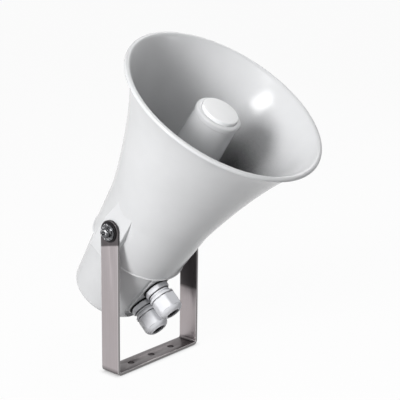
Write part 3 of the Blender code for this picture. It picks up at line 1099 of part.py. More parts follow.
def make_gland(name, place):
    """One cable gland, its axis along the holder's +X, outwards from the flat."""
    washer_start = GAP
    washer_end = washer_start + GLAND_WASHER_THICKNESS
    ring = ring_outline(washer_start, washer_end, GLAND_THREAD_RADIUS + GAP, GLAND_ROUND_RADIUS)
    body("gland_washer_" + name, turned(ring, SMALL_STEPS), FINISH["rubber"], place)

    flange_start = washer_end + GAP
    flange_end = flange_start + GLAND_FLANGE_THICKNESS
    neck_end = flange_end + GLAND_NECK_LENGTH
    thread_end = neck_end + GLAND_UPPER_THREAD
    cage_end = thread_end + GLAND_CAGE_LENGTH
    cage_bore = GLAND_CAGE_RADIUS - GLAND_CAGE_WALL
    upper = GLAND_THREAD_RADIUS
    outline = [
        (-GLAND_THREAD_LENGTH, GLAND_BORE_RADIUS), (-GLAND_THREAD_LENGTH, GLAND_THREAD_RADIUS),
        (flange_start, GLAND_THREAD_RADIUS), (flange_start, GLAND_ROUND_RADIUS),
        (flange_end, GLAND_ROUND_RADIUS), (flange_end, GLAND_NECK_RADIUS),
        (neck_end, GLAND_NECK_RADIUS), (neck_end, upper), (thread_end, upper),
        (thread_end, GLAND_CAGE_RADIUS), (cage_end, GLAND_CAGE_RADIUS), (cage_end, cage_bore),
        (neck_end + GLAND_UPPER_THREAD / 3, cage_bore),
        (neck_end + GLAND_UPPER_THREAD / 3, GLAND_BORE_RADIUS),
    ]
    gland = body("gland_body_" + name, turned(outline, SMALL_STEPS), FINISH["gland"], place)
    facet = facet_cutter(flange_start - GAP / 2, flange_end + GAP)
    combine(gland, guide("flange_flats_guide_" + name, facet, place), "DIFFERENCE")
    mesh = bmesh.new()
    slot = GLAND_CAGE_WALL / 2
    for angle in round_the_axis(GLAND_CAGE_SLOTS * 2):
        add_block(mesh, (thread_end + slot, cage_bore - GLAND_CAGE_WALL, -slot),
                  (cage_end + PAST, GLAND_CAGE_RADIUS + PAST, slot),
                  Matrix.Rotation(angle, 4, "X"))
    combine(gland, guide("cage_slots_guide_" + name, mesh, place), "DIFFERENCE")

    nut_start = neck_end + GAP
    nut_end = cage_end + GAP + GLAND_NUT_CROWN
    hex_end = nut_start + GLAND_NUT_COLLAR + GLAND_NUT_HEX
    throat = cage_end + GAP
    outline = [
        (nut_start, upper + GAP), (nut_start, GLAND_ROUND_RADIUS), (hex_end, GLAND_ROUND_RADIUS),
        (hex_end + (nut_end - hex_end) * 0.55, GLAND_ROUND_RADIUS * 0.87),
        (nut_end, GLAND_NUT_END_RADIUS), (nut_end, GLAND_BORE_RADIUS),
        (throat, GLAND_CAGE_RADIUS + GAP), (thread_end, upper + GAP),
    ]
    nut = body("gland_nut_" + name, turned(outline, SMALL_STEPS), FINISH["gland"], place)
    facet = facet_cutter(nut_start + GLAND_NUT_COLLAR, nut_end + PAST)
    combine(nut, guide("nut_flats_guide_" + name, facet, place), "DIFFERENCE")

    seal_start = neck_end + GLAND_UPPER_THREAD / 3 + GAP
    seal = [(seal_start, GLAND_SEAL_BORE), (seal_start, cage_bore - GAP),
            (cage_end, cage_bore - GAP), (nut_end - GLAND_CAGE_WALL, GLAND_BORE_RADIUS - GAP),
            (nut_end - GLAND_CAGE_WALL, GLAND_SEAL_BORE)]
    body("gland_seal_" + name, turned(seal, SMALL_STEPS), FINISH["rubber"], place)

    locknut_start = -COVER_WALL - GAP - LOCKNUT_THICKNESS
    mesh = hex_prism(GLAND_HALF_FLATS * 2, locknut_start, -COVER_WALL - GAP)
    locknut = body("gland_locknut_" + name, mesh, FINISH["gland"], place)
    mesh = bmesh.new()
    add_rod(mesh, (locknut_start - PAST, 0, 0), (PAST - COVER_WALL, 0, 0),
            GLAND_THREAD_RADIUS + GAP, SMALL_STEPS)
    combine(locknut, guide("locknut_bore_guide_" + name, mesh, place), "DIFFERENCE")


def facet_cutter(start, end):
    """Six slabs that leave a hexagon standing between two stations."""
    mesh = bmesh.new()
    half = GLAND_HALF_FLATS
    for angle in round_the_axis(6, math.pi / 6):
        add_block(mesh, (start, half, -half), (end, half + PAST * 2, half),
                  Matrix.Rotation(angle, 4, "X"))
    return mesh


def main():
    """Build the bracket, then the horn about its pivot."""
    make_bracket()
    pivot = holder("tilt_pivot", None, (0, 0, PIVOT_HEIGHT), (0, -TILT, 0))
    horn = holder("horn_axis", pivot, (0, 0, -AXIS_DROP))
    for side, name in ((-1, "right"), (1, "left")):
        make_pivot_set(side, name, pivot)
    make_bell(horn)
    make_reflector(horn)
    make_tone_tube(horn)
    moving = holder("diaphragm_slide", horn)
    make_driver(horn, moving)
    make_chassis(horn)
    make_leads(horn)
    face_drop = cover_radius(GLAND_FACE_STATION) - GLAND_SEAT_DEPTH
    gland_face = holder("gland_face", horn, (GLAND_FACE_STATION, 0, -face_drop),
                        (0, GLAND_FACE_TILT, 0))
    make_cover(horn, gland_face)
    for name, side in zip(GLAND_NAMES, (1, -1)):
        place = holder("gland_axis_" + name, gland_face, (side * GLAND_PITCH / 2, 0, 0),
                       (0, math.pi / 2, 0))
        make_gland(name, place)


clear_scene()
FINISH = make_finishes()
main()
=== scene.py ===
"""Looks of a horn loudspeaker on a tilting bracket: smooth visible pieces, finishes and studio."""
import json
import logging
import math
from dataclasses import dataclass, field
from enum import Enum
from typing import Callable, Sequence

import bmesh
import bpy
from mathutils import Matrix, Vector

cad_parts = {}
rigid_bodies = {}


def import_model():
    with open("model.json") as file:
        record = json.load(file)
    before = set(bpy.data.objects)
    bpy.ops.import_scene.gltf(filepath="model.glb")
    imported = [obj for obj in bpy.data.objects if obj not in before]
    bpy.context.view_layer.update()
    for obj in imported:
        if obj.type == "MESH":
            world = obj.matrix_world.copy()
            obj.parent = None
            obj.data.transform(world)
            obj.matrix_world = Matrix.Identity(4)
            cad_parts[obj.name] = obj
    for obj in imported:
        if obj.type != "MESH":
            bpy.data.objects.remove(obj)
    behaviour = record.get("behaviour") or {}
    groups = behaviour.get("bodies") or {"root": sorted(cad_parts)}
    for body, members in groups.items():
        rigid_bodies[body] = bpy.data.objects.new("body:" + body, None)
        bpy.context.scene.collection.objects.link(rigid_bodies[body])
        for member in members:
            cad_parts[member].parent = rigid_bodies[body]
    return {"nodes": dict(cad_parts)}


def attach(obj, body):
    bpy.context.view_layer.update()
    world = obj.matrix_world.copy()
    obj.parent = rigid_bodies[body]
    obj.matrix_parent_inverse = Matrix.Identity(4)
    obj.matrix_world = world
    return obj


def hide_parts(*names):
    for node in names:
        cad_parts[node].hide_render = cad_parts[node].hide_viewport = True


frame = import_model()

LOG = logging.getLogger("horn")
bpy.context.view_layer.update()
Outline = Sequence[tuple[float, float]]
Colour = tuple[float, float, float]
Socket = bpy.types.NodeSocket
Piece = bpy.types.Object

PAST = 0.002  # how far a tool reaches past what it cuts
GAP = 0.0003  # clearance between two pieces
MERGE = 0.00001  # vertices nearer than this are one
NEAR = 0.0001  # tolerance when vertices are picked by their place
QUARTER = math.pi / 2
# near-black of the painted shade on the strip's edge faces and in its bends
PAINTED_SHADE_STEEL = (0.02, 0.018, 0.019)


# ------------------------------------------------------------------ finishes


class Grain(Enum):
    """Which coordinates a finish reads."""

    OBJECT = "Object"
    STRIP = "UV"


def tinted(colour: Colour, factor: float, lift: float = 0.0) -> Colour:
    """A colour made darker or paler."""
    return tuple(min(1.0, channel * factor + lift) for channel in colour)


class Wiring:
    """A node tree under construction."""

    def __init__(self, tree: bpy.types.NodeTree) -> None:
        """Start with the tree emptied."""
        self.tree = tree
        tree.nodes.clear()

    def add(self, kind: str, inputs: dict[str | int, object], output: str | int = 0,
            **settings: object) -> Socket:
        """Add a node, set it up and fill its inputs.

        Args:
            kind: the node's type, without the start that all types share.
            inputs: a socket to link or a plain value, by name or number of the input.
            output: name or number of the output that is wanted.
            settings: the node's own settings.

        Returns:
            The output.
        """
        node = self.tree.nodes.new("ShaderNode" + kind)
        for name, value in settings.items():
            setattr(node, name, value)
        for place, value in inputs.items():
            if isinstance(value, Socket):
                self.tree.links.new(value, node.inputs[place])
            else:
                node.inputs[place].default_value = value
        return node.outputs[output]

    def sum(self, value: Socket, more: object) -> Socket:
        """Add a number or another value to a value."""
        return self.add("Math", {0: value, 1: more}, operation="ADD")

    def product(self, value: Socket, factor: Socket) -> Socket:
        """Multiply two values."""
        return self.add("Math", {0: value, 1: factor}, operation="MULTIPLY")

    def span(self, value: Socket, low: float, high: float, start: float, end: float) -> Socket:
        """Map a value that runs from low to high to one from start to end, clamped."""
        return self.add("MapRange", {"Value": value, "From Min": low, "From Max": high,
                                     "To Min": start, "To Max": end})

    def rays(self) -> bpy.types.bpy_prop_collection:
        """What kind of ray looks at the surface."""
        return self.tree.nodes.new("ShaderNodeLightPath").outputs

    def seen(self) -> Socket:
        """1 for what the camera sees, straight, mirrored or through something clear."""
        path = self.rays()
        return self.sum(self.sum(path["Is Camera Ray"], path["Is Glossy Ray"]),
                        path["Is Transmission Ray"])

    def either(self, share: Socket, first: Socket, second: Socket) -> Socket:
        """Mix two shaders."""
        return self.add("MixShader", {0: share, 1: first, 2: second})


class Recipe(Wiring):
    """A material with a Principled shader at its end."""

    def __init__(self, name: str) -> None:
        """Start an empty material of this name."""
        self.material = bpy.data.materials.new(name)
        self.material.use_nodes = True
        super().__init__(self.material.node_tree)
        self.out = self.tree.nodes.new("ShaderNodeOutputMaterial")
        self.shader = self.tree.nodes.new("ShaderNodeBsdfPrincipled")
        self.tree.links.new(self.shader.outputs["BSDF"], self.out.inputs["Surface"])
        self.place = self.tree.nodes.new("ShaderNodeTexCoord").outputs
        self.evenly = self.stretched(Grain.OBJECT, (1.0, 1.0, 1.0))

    def stretched(self, grain: Grain, scale: tuple[float, float, float]) -> Socket:
        """Coordinates stretched by a factor along each axis."""
        return self.add("Mapping", {"Vector": self.place[grain.value], "Scale": scale})

    def noise(self, where: Socket, scale: float, detail: float = 3.0,
              rough: float = 0.55) -> Socket:
        """Soft noise from 0 to 1, with so many features to a unit of its coordinates."""
        return self.add("TexNoise", {"Vector": where, "Scale": scale, "Detail": detail,
                                     "Roughness": rough}, "Fac")

    def blend(self, share: Socket, under: object, over: object) -> Socket:
        """Lay a share of a colour over another, each a socket or a plain colour."""
        first, second = (colour if isinstance(colour, Socket) else (*colour, 1.0)
                         for colour in (under, over))
        return self.add("Mix", {"Factor": share, 6: first, 7: second}, 2, data_type="RGBA")

    def parts(self, vector: Socket) -> list[Socket]:
        """X, Y and Z of a vector."""
        return list(self.add("SeparateXYZ", {"Vector": vector}).node.outputs)

    def reach(self, across: Socket, up: Socket) -> Socket:
        """Distance from nought of two values at right angles."""
        pair = self.add("CombineXYZ", {"X": across, "Y": up})
        return self.add("VectorMath", {0: pair}, "Value", operation="LENGTH")

    def edges(self, full: float, share: float) -> Socket:
        """A mask of the edges that turn outwards, up to a share."""
        return self.span(self.add("NewGeometry", {}, "Pointiness"), 0.53, full, 0.0, share)

    def hollow(self, within: float, deep: float, free: float, share: float) -> Socket:
        """A mask of painted shade: what lies deep in its own piece, found by ambient occlusion.

        Args:
            within: metres that are looked at.
            deep: open share of the view that counts as deep.
            free: open share that counts as open.
            share: the mask's highest value.

        Returns:
            The mask.
        """
        view = self.add("AmbientOcclusion", {"Distance": within}, "AO", samples=16,
                        only_local=True)
        return self.span(view, deep, free, share, 0.0)

    def relief(self, height: Socket, depth: float, strength: float) -> Socket:
        """A bump whose height from 0 to 1 stands for a depth in metres."""
        return self.add("Bump", {"Distance": depth, "Strength": strength, "Height": height},
                        "Normal")

    def finish(self, colour: Socket, roughness: Socket, normal: Socket, metallic: float,
               shine: float = 0.5) -> bpy.types.Material:
        """Wire the results to the shader.

        Args:
            colour: base colour.
            roughness: roughness.
            normal: normal.
            metallic: 0 or 1.
            shine: level of the plain reflection.

        Returns:
            The finished material.
        """
        for name, socket in (("Base Color", colour), ("Roughness", roughness),
                             ("Normal", normal)):
            self.tree.links.new(socket, self.shader.inputs[name])
        self.shader.inputs["Metallic"].default_value = metallic
        self.shader.inputs["Specular IOR Level"].default_value = shine
        return self.material


@dataclass(frozen=True)
class MouldedPlastic:
    """Moulded plastic: fine orange peel, faint mottling, pale edges of wear and painted highlight,
    painted shade deep inside.
    """

    name: str
    colour: Colour
    rough: float = 0.33
    peel: float = 900.0
    peel_depth: float = 0.00004
    mottle: float = 0.03
    rubbed_edges_and_highlight: float = 0.10
    dust: float = 0.10
    painted_shade: float = 0.0
    painted_shade_reach: float = 0.25
    painted_shade_deep: float = 0.15
    painted_shade_free: float = 0.60
    painted_shade_facing_down: float = 1.0
    shine: float = 0.5

    def material(self) -> bpy.types.Material:
        """Build the material."""
        mix = Recipe(self.name)
        broad = mix.noise(mix.evenly, 14.0, 4.0)
        fine = mix.noise(mix.evenly, self.peel, 2.0)
        dust = mix.noise(mix.evenly, 260.0, 5.0, 0.7)
        base = mix.blend(mix.span(broad, 0.35, 0.65, 0.0, 1.0),
                         tinted(self.colour, 1 - self.mottle),
                         tinted(self.colour, 1 + self.mottle))
        base = mix.blend(mix.span(dust, 0.66, 0.82, 0.0, self.dust), base,
                         tinted(self.colour, 0.72))
        # paler edges: part rubbed wear, part painted highlight
        base = mix.blend(mix.edges(0.62, self.rubbed_edges_and_highlight), base, tinted(self.colour, 1.18))
        # painted shade: near-black laid into the piece's own deep hollows, weaker on faces turned
        # downwards
        if self.painted_shade > 0:
            painted_shade_mask = mix.hollow(self.painted_shade_reach, self.painted_shade_deep, self.painted_shade_free, self.painted_shade)
            if self.painted_shade_facing_down < 1:
                up = mix.parts(mix.place["Normal"])[2]
                painted_shade_mask = mix.product(painted_shade_mask, mix.span(up, -0.15, 0.30, self.painted_shade_facing_down, 1.0))
            base = mix.blend(painted_shade_mask, base, tinted(self.colour, 0.04))
        rough = mix.span(mix.noise(mix.evenly, 40.0, 4.0), 0.3, 0.7,
                         self.rough - 0.04, self.rough + 0.05)
        return mix.finish(base, rough, mix.relief(fine, self.peel_depth, 0.5), 0.0, self.shine)


@dataclass(frozen=True)
class BrushedStrip:
    """Stainless strip brushed lengthwise; painted highlights, shade and dark reflections."""

    name: str
    colour: Colour
    pivot_height: float
    half_width: float
    side_painted_shade_tone: float = 0.30
    base_painted_shade_tone: float = 0.33
    dark_reflection_reach: float = 0.0150
    inner_face: float = 0.0576
    shade_height: float = 0.0600
    rough: float = 0.34

    def material(self) -> bpy.types.Material:
        """Build the material."""
        mix = Recipe(self.name)
        hair = mix.noise(mix.stretched(Grain.STRIP, (2600.0, 22.0, 1.0)), 1.0, 4.0, 0.65)
        long_hair = mix.noise(mix.stretched(Grain.STRIP, (700.0, 5.0, 1.0)), 1.0, 3.0)
        cloud = mix.noise(mix.evenly, 26.0, 3.0)
        across, sideways, height = mix.parts(mix.place["Object"])
        rise = mix.sum(height, -self.pivot_height)
        away = mix.reach(across, mix.span(rise, 0.0, 0.05, 0.0, 0.05))
        level = mix.sum(rise, mix.span(across, -0.02, 0.02, 0.0044, -0.0044))
        ragged = mix.sum(level, mix.span(hair, 0.3, 0.7, -0.0005, 0.0005))
        # masks of the far arm's inner face, high up, where painted shade goes
        inner = mix.span(sideways, self.inner_face + 0.0002, self.inner_face + 0.0012, 1.0, 0.0)
        above = mix.span(height, self.shade_height, self.shade_height + 0.004, 0.0, 0.75)
        left = mix.span(sideways, self.inner_face - 0.0020, self.inner_face - 0.0010, 0.0, 1.0)
        dark = tinted(self.colour, 0.84)
        base = mix.blend(mix.span(hair, 0.3, 0.7, 0.0, 1.0), dark, tinted(self.colour, 1.13))
        layers = (
            (mix.span(long_hair, 0.35, 0.7, 0.0, 0.35), dark),
            (mix.span(cloud, 0.4, 0.75, 0.0, 0.18), (0.36, 0.31, 0.30)),
            # painted shade and reflection: the base under the horn darkened, fading out up the
            # bends
            (mix.span(height, 0.0024, 0.0070, 1.0 - self.base_painted_shade_tone, 0.0), (0.030, 0.027, 0.028)),
            # painted highlight: a pale line just inside the strip's long edges and round the arm
            # ends
            (mix.span(away, self.half_width - 0.0006, self.half_width - 0.0002, 0.0, 0.75),
             (0.78, 0.76, 0.76)),
            # painted shade: the strip's edge faces darkened
            (mix.span(away, self.half_width - 0.0001, self.half_width, 0.0,
                      1.0 - self.side_painted_shade_tone), PAINTED_SHADE_STEEL),
            # painted dark reflection: the arm above the bolt darkened, with a ragged lower edge
            (mix.span(ragged, -self.dark_reflection_reach, -self.dark_reflection_reach + 0.0014, 0.0, 0.80),
             (0.035, 0.030, 0.033)),
            # painted dark reflection: a black disc round the pivot
            (mix.span(mix.reach(across, rise), 0.0098, 0.0112, 0.97, 0.0), (0.008, 0.007, 0.008)),
            # painted shade on the far arm's inner face, high up
            (mix.product(mix.product(inner, above), left), (0.015, 0.013, 0.014)),
            # painted shade in the strip's own hollows and bends
            (mix.hollow(0.012, 0.25, 0.8, 0.9), PAINTED_SHADE_STEEL),
        )
        for share, colour in layers:
            base = mix.blend(share, base, colour)
        rough = mix.span(hair, 0.3, 0.7, self.rough - 0.07, self.rough + 0.08)
        mix.shader.inputs["Anisotropic"].default_value = 0.55
        tangent = mix.add("Tangent", {}, direction_type="UV_MAP")
        mix.tree.links.new(tangent, mix.shader.inputs["Tangent"])
        return mix.finish(base, rough, mix.relief(hair, 0.00002, 0.35), 1.0)


@dataclass(frozen=True)
class WorkedMetal:
    """Bare metal with fine tool marks, stains and brighter worn edges."""

    name: str
    colour: Colour
    rough: float = 0.28
    stain: float = 0.30
    grain: float = 1600.0
    depth: float = 0.00002
    stretch: tuple[float, float, float] = (1.0, 1.0, 1.0)
    sparkle: float = 0.0

    def material(self) -> bpy.types.Material:
        """Build the material."""
        mix = Recipe(self.name)
        fine = mix.noise(mix.stretched(Grain.OBJECT, self.stretch), self.grain, 3.0, 0.65)
        broad = mix.noise(mix.evenly, 190.0, 4.0, 0.6)
        glint = mix.noise(mix.evenly, 640.0, 2.0, 0.5)
        base = mix.blend(mix.span(fine, 0.3, 0.7, 0.0, 1.0), tinted(self.colour, 0.86),
                         tinted(self.colour, 1.1))
        base = mix.blend(mix.span(broad, 0.42, 0.7, 0.0, self.stain), base,
                         tinted(self.colour, 0.38))
        base = mix.blend(mix.edges(0.64, 0.6), base, tinted(self.colour, 1.35, 0.05))
        # painted glints: scattered bright specks
        base = mix.blend(mix.span(glint, 0.58, 0.64, 0.0, self.sparkle), base, (0.92, 0.92, 0.93))
        rough = mix.span(broad, 0.3, 0.7, self.rough - 0.05, self.rough + 0.14)
        return mix.finish(base, rough, mix.relief(fine, self.depth, 0.4), 1.0)


@dataclass(frozen=True)
class DullSolid:
    """A matt, non-metal finish: rubber, nylon, ceramic or film."""

    name: str
    colour: Colour
    rough: float = 0.6
    grain: float = 1100.0
    depth: float = 0.00005
    bloom: float = 0.15
    shine: float = 0.5

    def material(self) -> bpy.types.Material:
        """Build the material."""
        mix = Recipe(self.name)
        fine = mix.noise(mix.evenly, self.grain, 3.0, 0.6)
        broad = mix.noise(mix.evenly, 120.0, 4.0, 0.6)
        grey = (sum(self.colour) / 3,) * 3
        base = mix.blend(mix.span(fine, 0.3, 0.7, 0.0, 1.0), tinted(self.colour, 0.85),
                         tinted(self.colour, 1.15))
        base = mix.blend(mix.span(broad, 0.45, 0.75, 0.0, self.bloom), base,
                         tinted(grey, 1.5, 0.02))
        base = mix.blend(mix.edges(0.63, 0.25), base, tinted(self.colour, 1.4, 0.02))
        rough = mix.span(broad, 0.3, 0.7, self.rough - 0.06, self.rough + 0.08)
        return mix.finish(base, rough, mix.relief(fine, self.depth, 0.45), 0.0, self.shine)


class Slot(Enum):
    """The record's material slots."""

    SHELL = "shell"
    PLUG = "plug"
    GLAND = "gland"
    RUBBER = "rubber"
    NYLON = "black_nylon"
    STRIP = "strip"
    BOLT = "bolt"
    BRASS = "brass"
    CASTING = "casting"
    STEEL = "steel"
    FERRITE = "ferrite"
    FILM = "film"
    COPPER = "copper"
    IRON = "iron"
    BLOCK = "block"


class Finishes:
    """Every finish of the loudspeaker, built once."""

    def __init__(self) -> None:
        """Build the materials."""
        recipes = {
            Slot.SHELL: MouldedPlastic("shell_light_grey", (0.70, 0.705, 0.715), rough=0.17,
                                       painted_shade=0.99, painted_shade_deep=0.26, painted_shade_free=0.47,
                                       painted_shade_facing_down=0.15, shine=0.24),
            Slot.PLUG: MouldedPlastic("plug_white", (0.92, 0.925, 0.93), rough=0.5,
                                      peel_depth=0.00003),
            Slot.GLAND: MouldedPlastic("gland_pale_nylon", (0.72, 0.725, 0.755), rough=0.42,
                                       peel=1500.0, mottle=0.04, rubbed_edges_and_highlight=0.40, painted_shade=1.0,
                                       painted_shade_reach=0.007, painted_shade_deep=0.45, painted_shade_free=0.93,
                                       shine=0.3),
            Slot.RUBBER: DullSolid("seal_rubber", (0.010, 0.010, 0.010), rough=0.72, shine=0.2),
            Slot.NYLON: DullSolid("washer_black_nylon", (0.010, 0.009, 0.010), rough=0.5,
                                  bloom=0.05, shine=0.2),
            Slot.STRIP: BrushedStrip("bracket_brushed_steel", (0.46, 0.42, 0.43), 0.1476, 0.0115),
            Slot.BOLT: WorkedMetal("bolt_dull_steel", (0.15, 0.15, 0.16), rough=0.20, stain=0.85,
                                   sparkle=0.9),
            Slot.BRASS: WorkedMetal("insert_brass", (0.72, 0.50, 0.20), rough=0.3),
            Slot.CASTING: WorkedMetal("plate_casting", (0.50, 0.50, 0.51), rough=0.45,
                                      grain=700.0, depth=0.00008),
            Slot.STEEL: WorkedMetal("plate_passivated_steel", (0.56, 0.55, 0.48), rough=0.34,
                                    stretch=(1.0, 1.0, 6.0)),
            Slot.FERRITE: DullSolid("magnet_ferrite", (0.055, 0.055, 0.06), rough=0.55,
                                    grain=700.0),
            Slot.FILM: DullSolid("diaphragm_film", (0.34, 0.15, 0.05), rough=0.3, bloom=0.05),
            Slot.COPPER: WorkedMetal("winding_copper", (0.62, 0.27, 0.12), rough=0.3,
                                     stretch=(1.0, 1.0, 14.0), depth=0.00006),
            Slot.IRON: WorkedMetal("core_laminations", (0.24, 0.24, 0.26), rough=0.45,
                                   stretch=(9.0, 1.0, 1.0), depth=0.00006),
            Slot.BLOCK: MouldedPlastic("terminal_block_ivory", (0.68, 0.67, 0.60), rough=0.4),
        }
        self._made = {slot: recipe.material() for slot, recipe in recipes.items()}

    def __getitem__(self, slot: Slot) -> bpy.types.Material:
        """The material of a slot."""
        return self._made[slot]


# ------------------------------------------------------------ modelling moves


class Cut(Enum):
    """What a tool does to a piece."""

    AWAY = "DIFFERENCE"
    JOIN = "UNION"


def clear_selection() -> None:
    """Deselect everything, in object mode."""
    if bpy.context.object is not None and bpy.context.object.mode != "OBJECT":
        bpy.ops.object.mode_set(mode="OBJECT")
    bpy.ops.object.select_all(action="DESELECT")


def take(piece: Piece) -> None:
    """Make a piece the only one selected, and active."""
    clear_selection()
    piece.select_set(True)
    bpy.context.view_layer.objects.active = piece


def started(name: str) -> Piece:
    """Name the primitive that was just added and carry its place into its mesh."""
    bpy.context.object.name = name
    bpy.ops.object.transform_apply(location=True, rotation=True, scale=True)
    return bpy.context.object


def carry(piece: Piece, seat: Matrix) -> None:
    """Carry a piece's mesh to a seat."""
    take(piece)
    piece.matrix_world = seat
    bpy.ops.object.transform_apply(location=True, rotation=True, scale=True)


def start_editing(piece: Piece, kind: str) -> None:
    """Open a piece for editing, with nothing selected, to pick one kind of element."""
    if piece.mode != "EDIT":
        take(piece)
        bpy.ops.object.mode_set(mode="EDIT")
    bpy.ops.mesh.select_all(action="DESELECT")
    bpy.ops.mesh.select_mode(type=kind)


def close_up(threshold: float) -> None:
    """Merge doubles, turn all faces outwards and leave edit mode."""
    bpy.ops.mesh.select_all(action="SELECT")
    bpy.ops.mesh.remove_doubles(threshold=threshold)
    bpy.ops.mesh.normals_make_consistent(inside=False)
    bpy.ops.object.mode_set(mode="OBJECT")


def choose(piece: Piece, test: Callable[[Vector], bool]) -> None:
    """In edit mode, select the vertices that pass a test on their place, and what lies between.

    Args:
        piece: the piece.
        test: which places count.
    """
    start_editing(piece, "VERT")
    shape = bmesh.from_edit_mesh(piece.data)
    for vertex in shape.verts:
        vertex.select = test(vertex.co)
    shape.select_flush(True)
    bmesh.update_edit_mesh(piece.data)


def arc(centre: tuple[float, float], radius: float, start: float, end: float,
        steps: int) -> list[tuple[float, float]]:
    """Points of a round in an outline.

    Args:
        centre: station and radius of its middle.
        radius: size of the round.
        start: first angle in degrees, 0 forwards and 90 outwards.
        end: last angle.
        steps: how many steps lie between.

    Returns:
        The points, ends included.
    """
    turns = (math.radians(start + (end - start) * step / steps) for step in range(steps + 1))
    return [(centre[0] + radius * math.cos(turn), centre[1] + radius * math.sin(turn))
            for turn in turns]


def curve(first: tuple[float, float], pull: tuple[float, float], last: tuple[float, float],
          steps: int) -> list[tuple[float, float]]:
    """Points of a smooth bend between two points, without the first.

    Args:
        first: where it starts.
        pull: the point that it bends towards.
        last: where it ends.
        steps: how many steps.

    Returns:
        The points.
    """
    points = []
    for share in (step / steps for step in range(1, steps + 1)):
        rest = 1 - share
        points.append(tuple(first[i] * rest * rest + 2 * pull[i] * rest * share
                            + last[i] * share * share for i in range(2)))
    return points


def turned(name: str, outline: Outline, steps: int, closed: bool = False) -> Piece:
    """Extrude a vertex along an outline and spin it round Z.

    Args:
        name: name of the piece.
        outline: station along Z and radius of each point.
        steps: facets round the axis.
        closed: whether the last point runs back to the first.

    Returns:
        The turned piece, at the origin.
    """
    clear_selection()
    start = outline[0]
    bpy.ops.mesh.primitive_plane_add(size=0.0004, location=(start[1], 0.0, start[0]))
    piece = started(name)
    start_editing(piece, "VERT")
    bpy.ops.mesh.select_all(action="SELECT")
    bpy.ops.mesh.merge(type="CENTER")
    points = list(outline) + ([start] if closed else [])
    for before, after in zip(points, points[1:]):
        step = (after[1] - before[1], 0.0, after[0] - before[0])
        bpy.ops.mesh.extrude_vertices_move(TRANSFORM_OT_translate={"value": step})
    bpy.ops.mesh.select_all(action="SELECT")
    bpy.ops.mesh.spin(steps=steps, angle=math.tau, center=(0.0, 0.0, 0.0), axis=(0.0, 0.0, 1.0))
    close_up(0.000002)
    return piece


def rod(name: str, start: Vector, end: Vector, radius: float, steps: int) -> Piece:
    """A cylinder between two points, used as a tool.

    Args:
        name: its name.
        start: middle of one end.
        end: middle of the other.
        radius: its radius.
        steps: facets round it.

    Returns:
        The cylinder, at the origin.
    """
    clear_selection()
    way = end - start
    bpy.ops.mesh.primitive_cylinder_add(vertices=steps, radius=radius, depth=way.length,
                                        location=(start + end) / 2,
                                        rotation=way.to_track_quat("Z", "X").to_euler())
    return started(name)


def block(name: str, low: Vector, high: Vector) -> Piece:
    """A box between two corners."""
    clear_selection()
    bpy.ops.mesh.primitive_cube_add(size=1.0, location=(low + high) / 2)
    bpy.context.object.scale = high - low
    return started(name)


def soften(piece: Piece, width: float, segments: int = 2, angle: float = 35.0) -> None:
    """Round the sharp edges of a piece.

    Args:
        piece: the piece.
        width: size of the rounding.
        segments: facets of the rounding.
        angle: edges sharper than this, in degrees, are rounded.
    """
    take(piece)
    bevel = piece.modifiers.new("softened_edges", "BEVEL")
    bevel.width = width
    bevel.segments = segments
    bevel.limit_method = "ANGLE"
    bevel.angle_limit = math.radians(angle)
    bpy.ops.object.modifier_apply(modifier=bevel.name)


def work(piece: Piece, tool: Piece, cut: Cut) -> None:
    """Apply a tool to a piece and throw the tool away.

    Args:
        piece: what is shaped.
        tool: the shape that is joined or cut away.
        cut: which of them.
    """
    take(piece)
    step = piece.modifiers.new("tool", "BOOLEAN")
    step.operation = cut.value
    step.solver = "EXACT"
    step.object = tool
    bpy.ops.object.modifier_apply(modifier=step.name)
    bpy.data.objects.remove(tool)


def joined(pieces: Sequence[Piece]) -> Piece:
    """Join pieces that lie apart into one object."""
    clear_selection()
    for piece in pieces:
        piece.select_set(True)
    bpy.context.view_layer.objects.active = pieces[0]
    bpy.ops.object.join()
    return bpy.context.object


def hex_bar(name: str, across_flats: float, start: float, end: float) -> Piece:
    """A hexagonal bar along Z between two stations."""
    return rod(name, Vector((0, 0, start)), Vector((0, 0, end)),
               across_flats / 2 / math.cos(math.pi / 6), 6)


def hex_ring(name: str, across_flats: float, start: float, end: float) -> Piece:
    """A tool that trims a turned piece to six flats between two stations.

    Args:
        name: its name.
        across_flats: distance between opposite flats.
        start: first station.
        end: last station.

    Returns:
        A thick ring with a hexagonal hole.
    """
    clear_selection()
    bpy.ops.mesh.primitive_circle_add(vertices=6, radius=across_flats / 2 / math.cos(math.pi / 6),
                                      fill_type="NOTHING", location=(0.0, 0.0, start))
    piece = started(name)
    bpy.ops.object.mode_set(mode="EDIT")
    bpy.ops.mesh.select_all(action="SELECT")
    bpy.ops.mesh.extrude_edges_move(TRANSFORM_OT_translate={"value": (0.0, 0.0, 0.0)})
    bpy.ops.transform.resize(value=(1.6, 1.6, 1.0), center_override=(0.0, 0.0, start))
    bpy.ops.mesh.select_all(action="SELECT")
    bpy.ops.mesh.extrude_region_move(TRANSFORM_OT_translate={"value": (0.0, 0.0, end - start)})
    close_up(0.000001)
    return piece


def settle(piece: Piece, seat: Matrix, smooth: float = 32.0) -> Piece:
    """Carry a finished piece to its seat and shade its round faces smooth.

    Args:
        piece: the piece, modelled about Z.
        seat: where it goes.
        smooth: edges sharper than this, in degrees, stay sharp.

    Returns:
        The piece, its place in its mesh.
    """
    carry(piece, seat)
    bpy.ops.object.shade_smooth_by_angle(angle=math.radians(smooth))
    return piece


def stands_for(piece: Piece, node: str, body: str, slot: Slot, finishes: Finishes) -> None:
    """Dress a piece, let it ride on its body and hide the plain solid that it stands for.

    Args:
        piece: the visible piece.
        node: the plain solid.
        body: the body that carries both.
        slot: the finish.
        finishes: all finishes.
    """
    piece.name = node + "_form"
    piece.data.materials.clear()
    piece.data.materials.append(finishes[slot])
    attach(piece, body)
    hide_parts(node)
    LOG.info("%s: %d faces, rides on %s", piece.name, len(piece.data.polygons), body)


# ------------------------------------------------------------- sub-assemblies


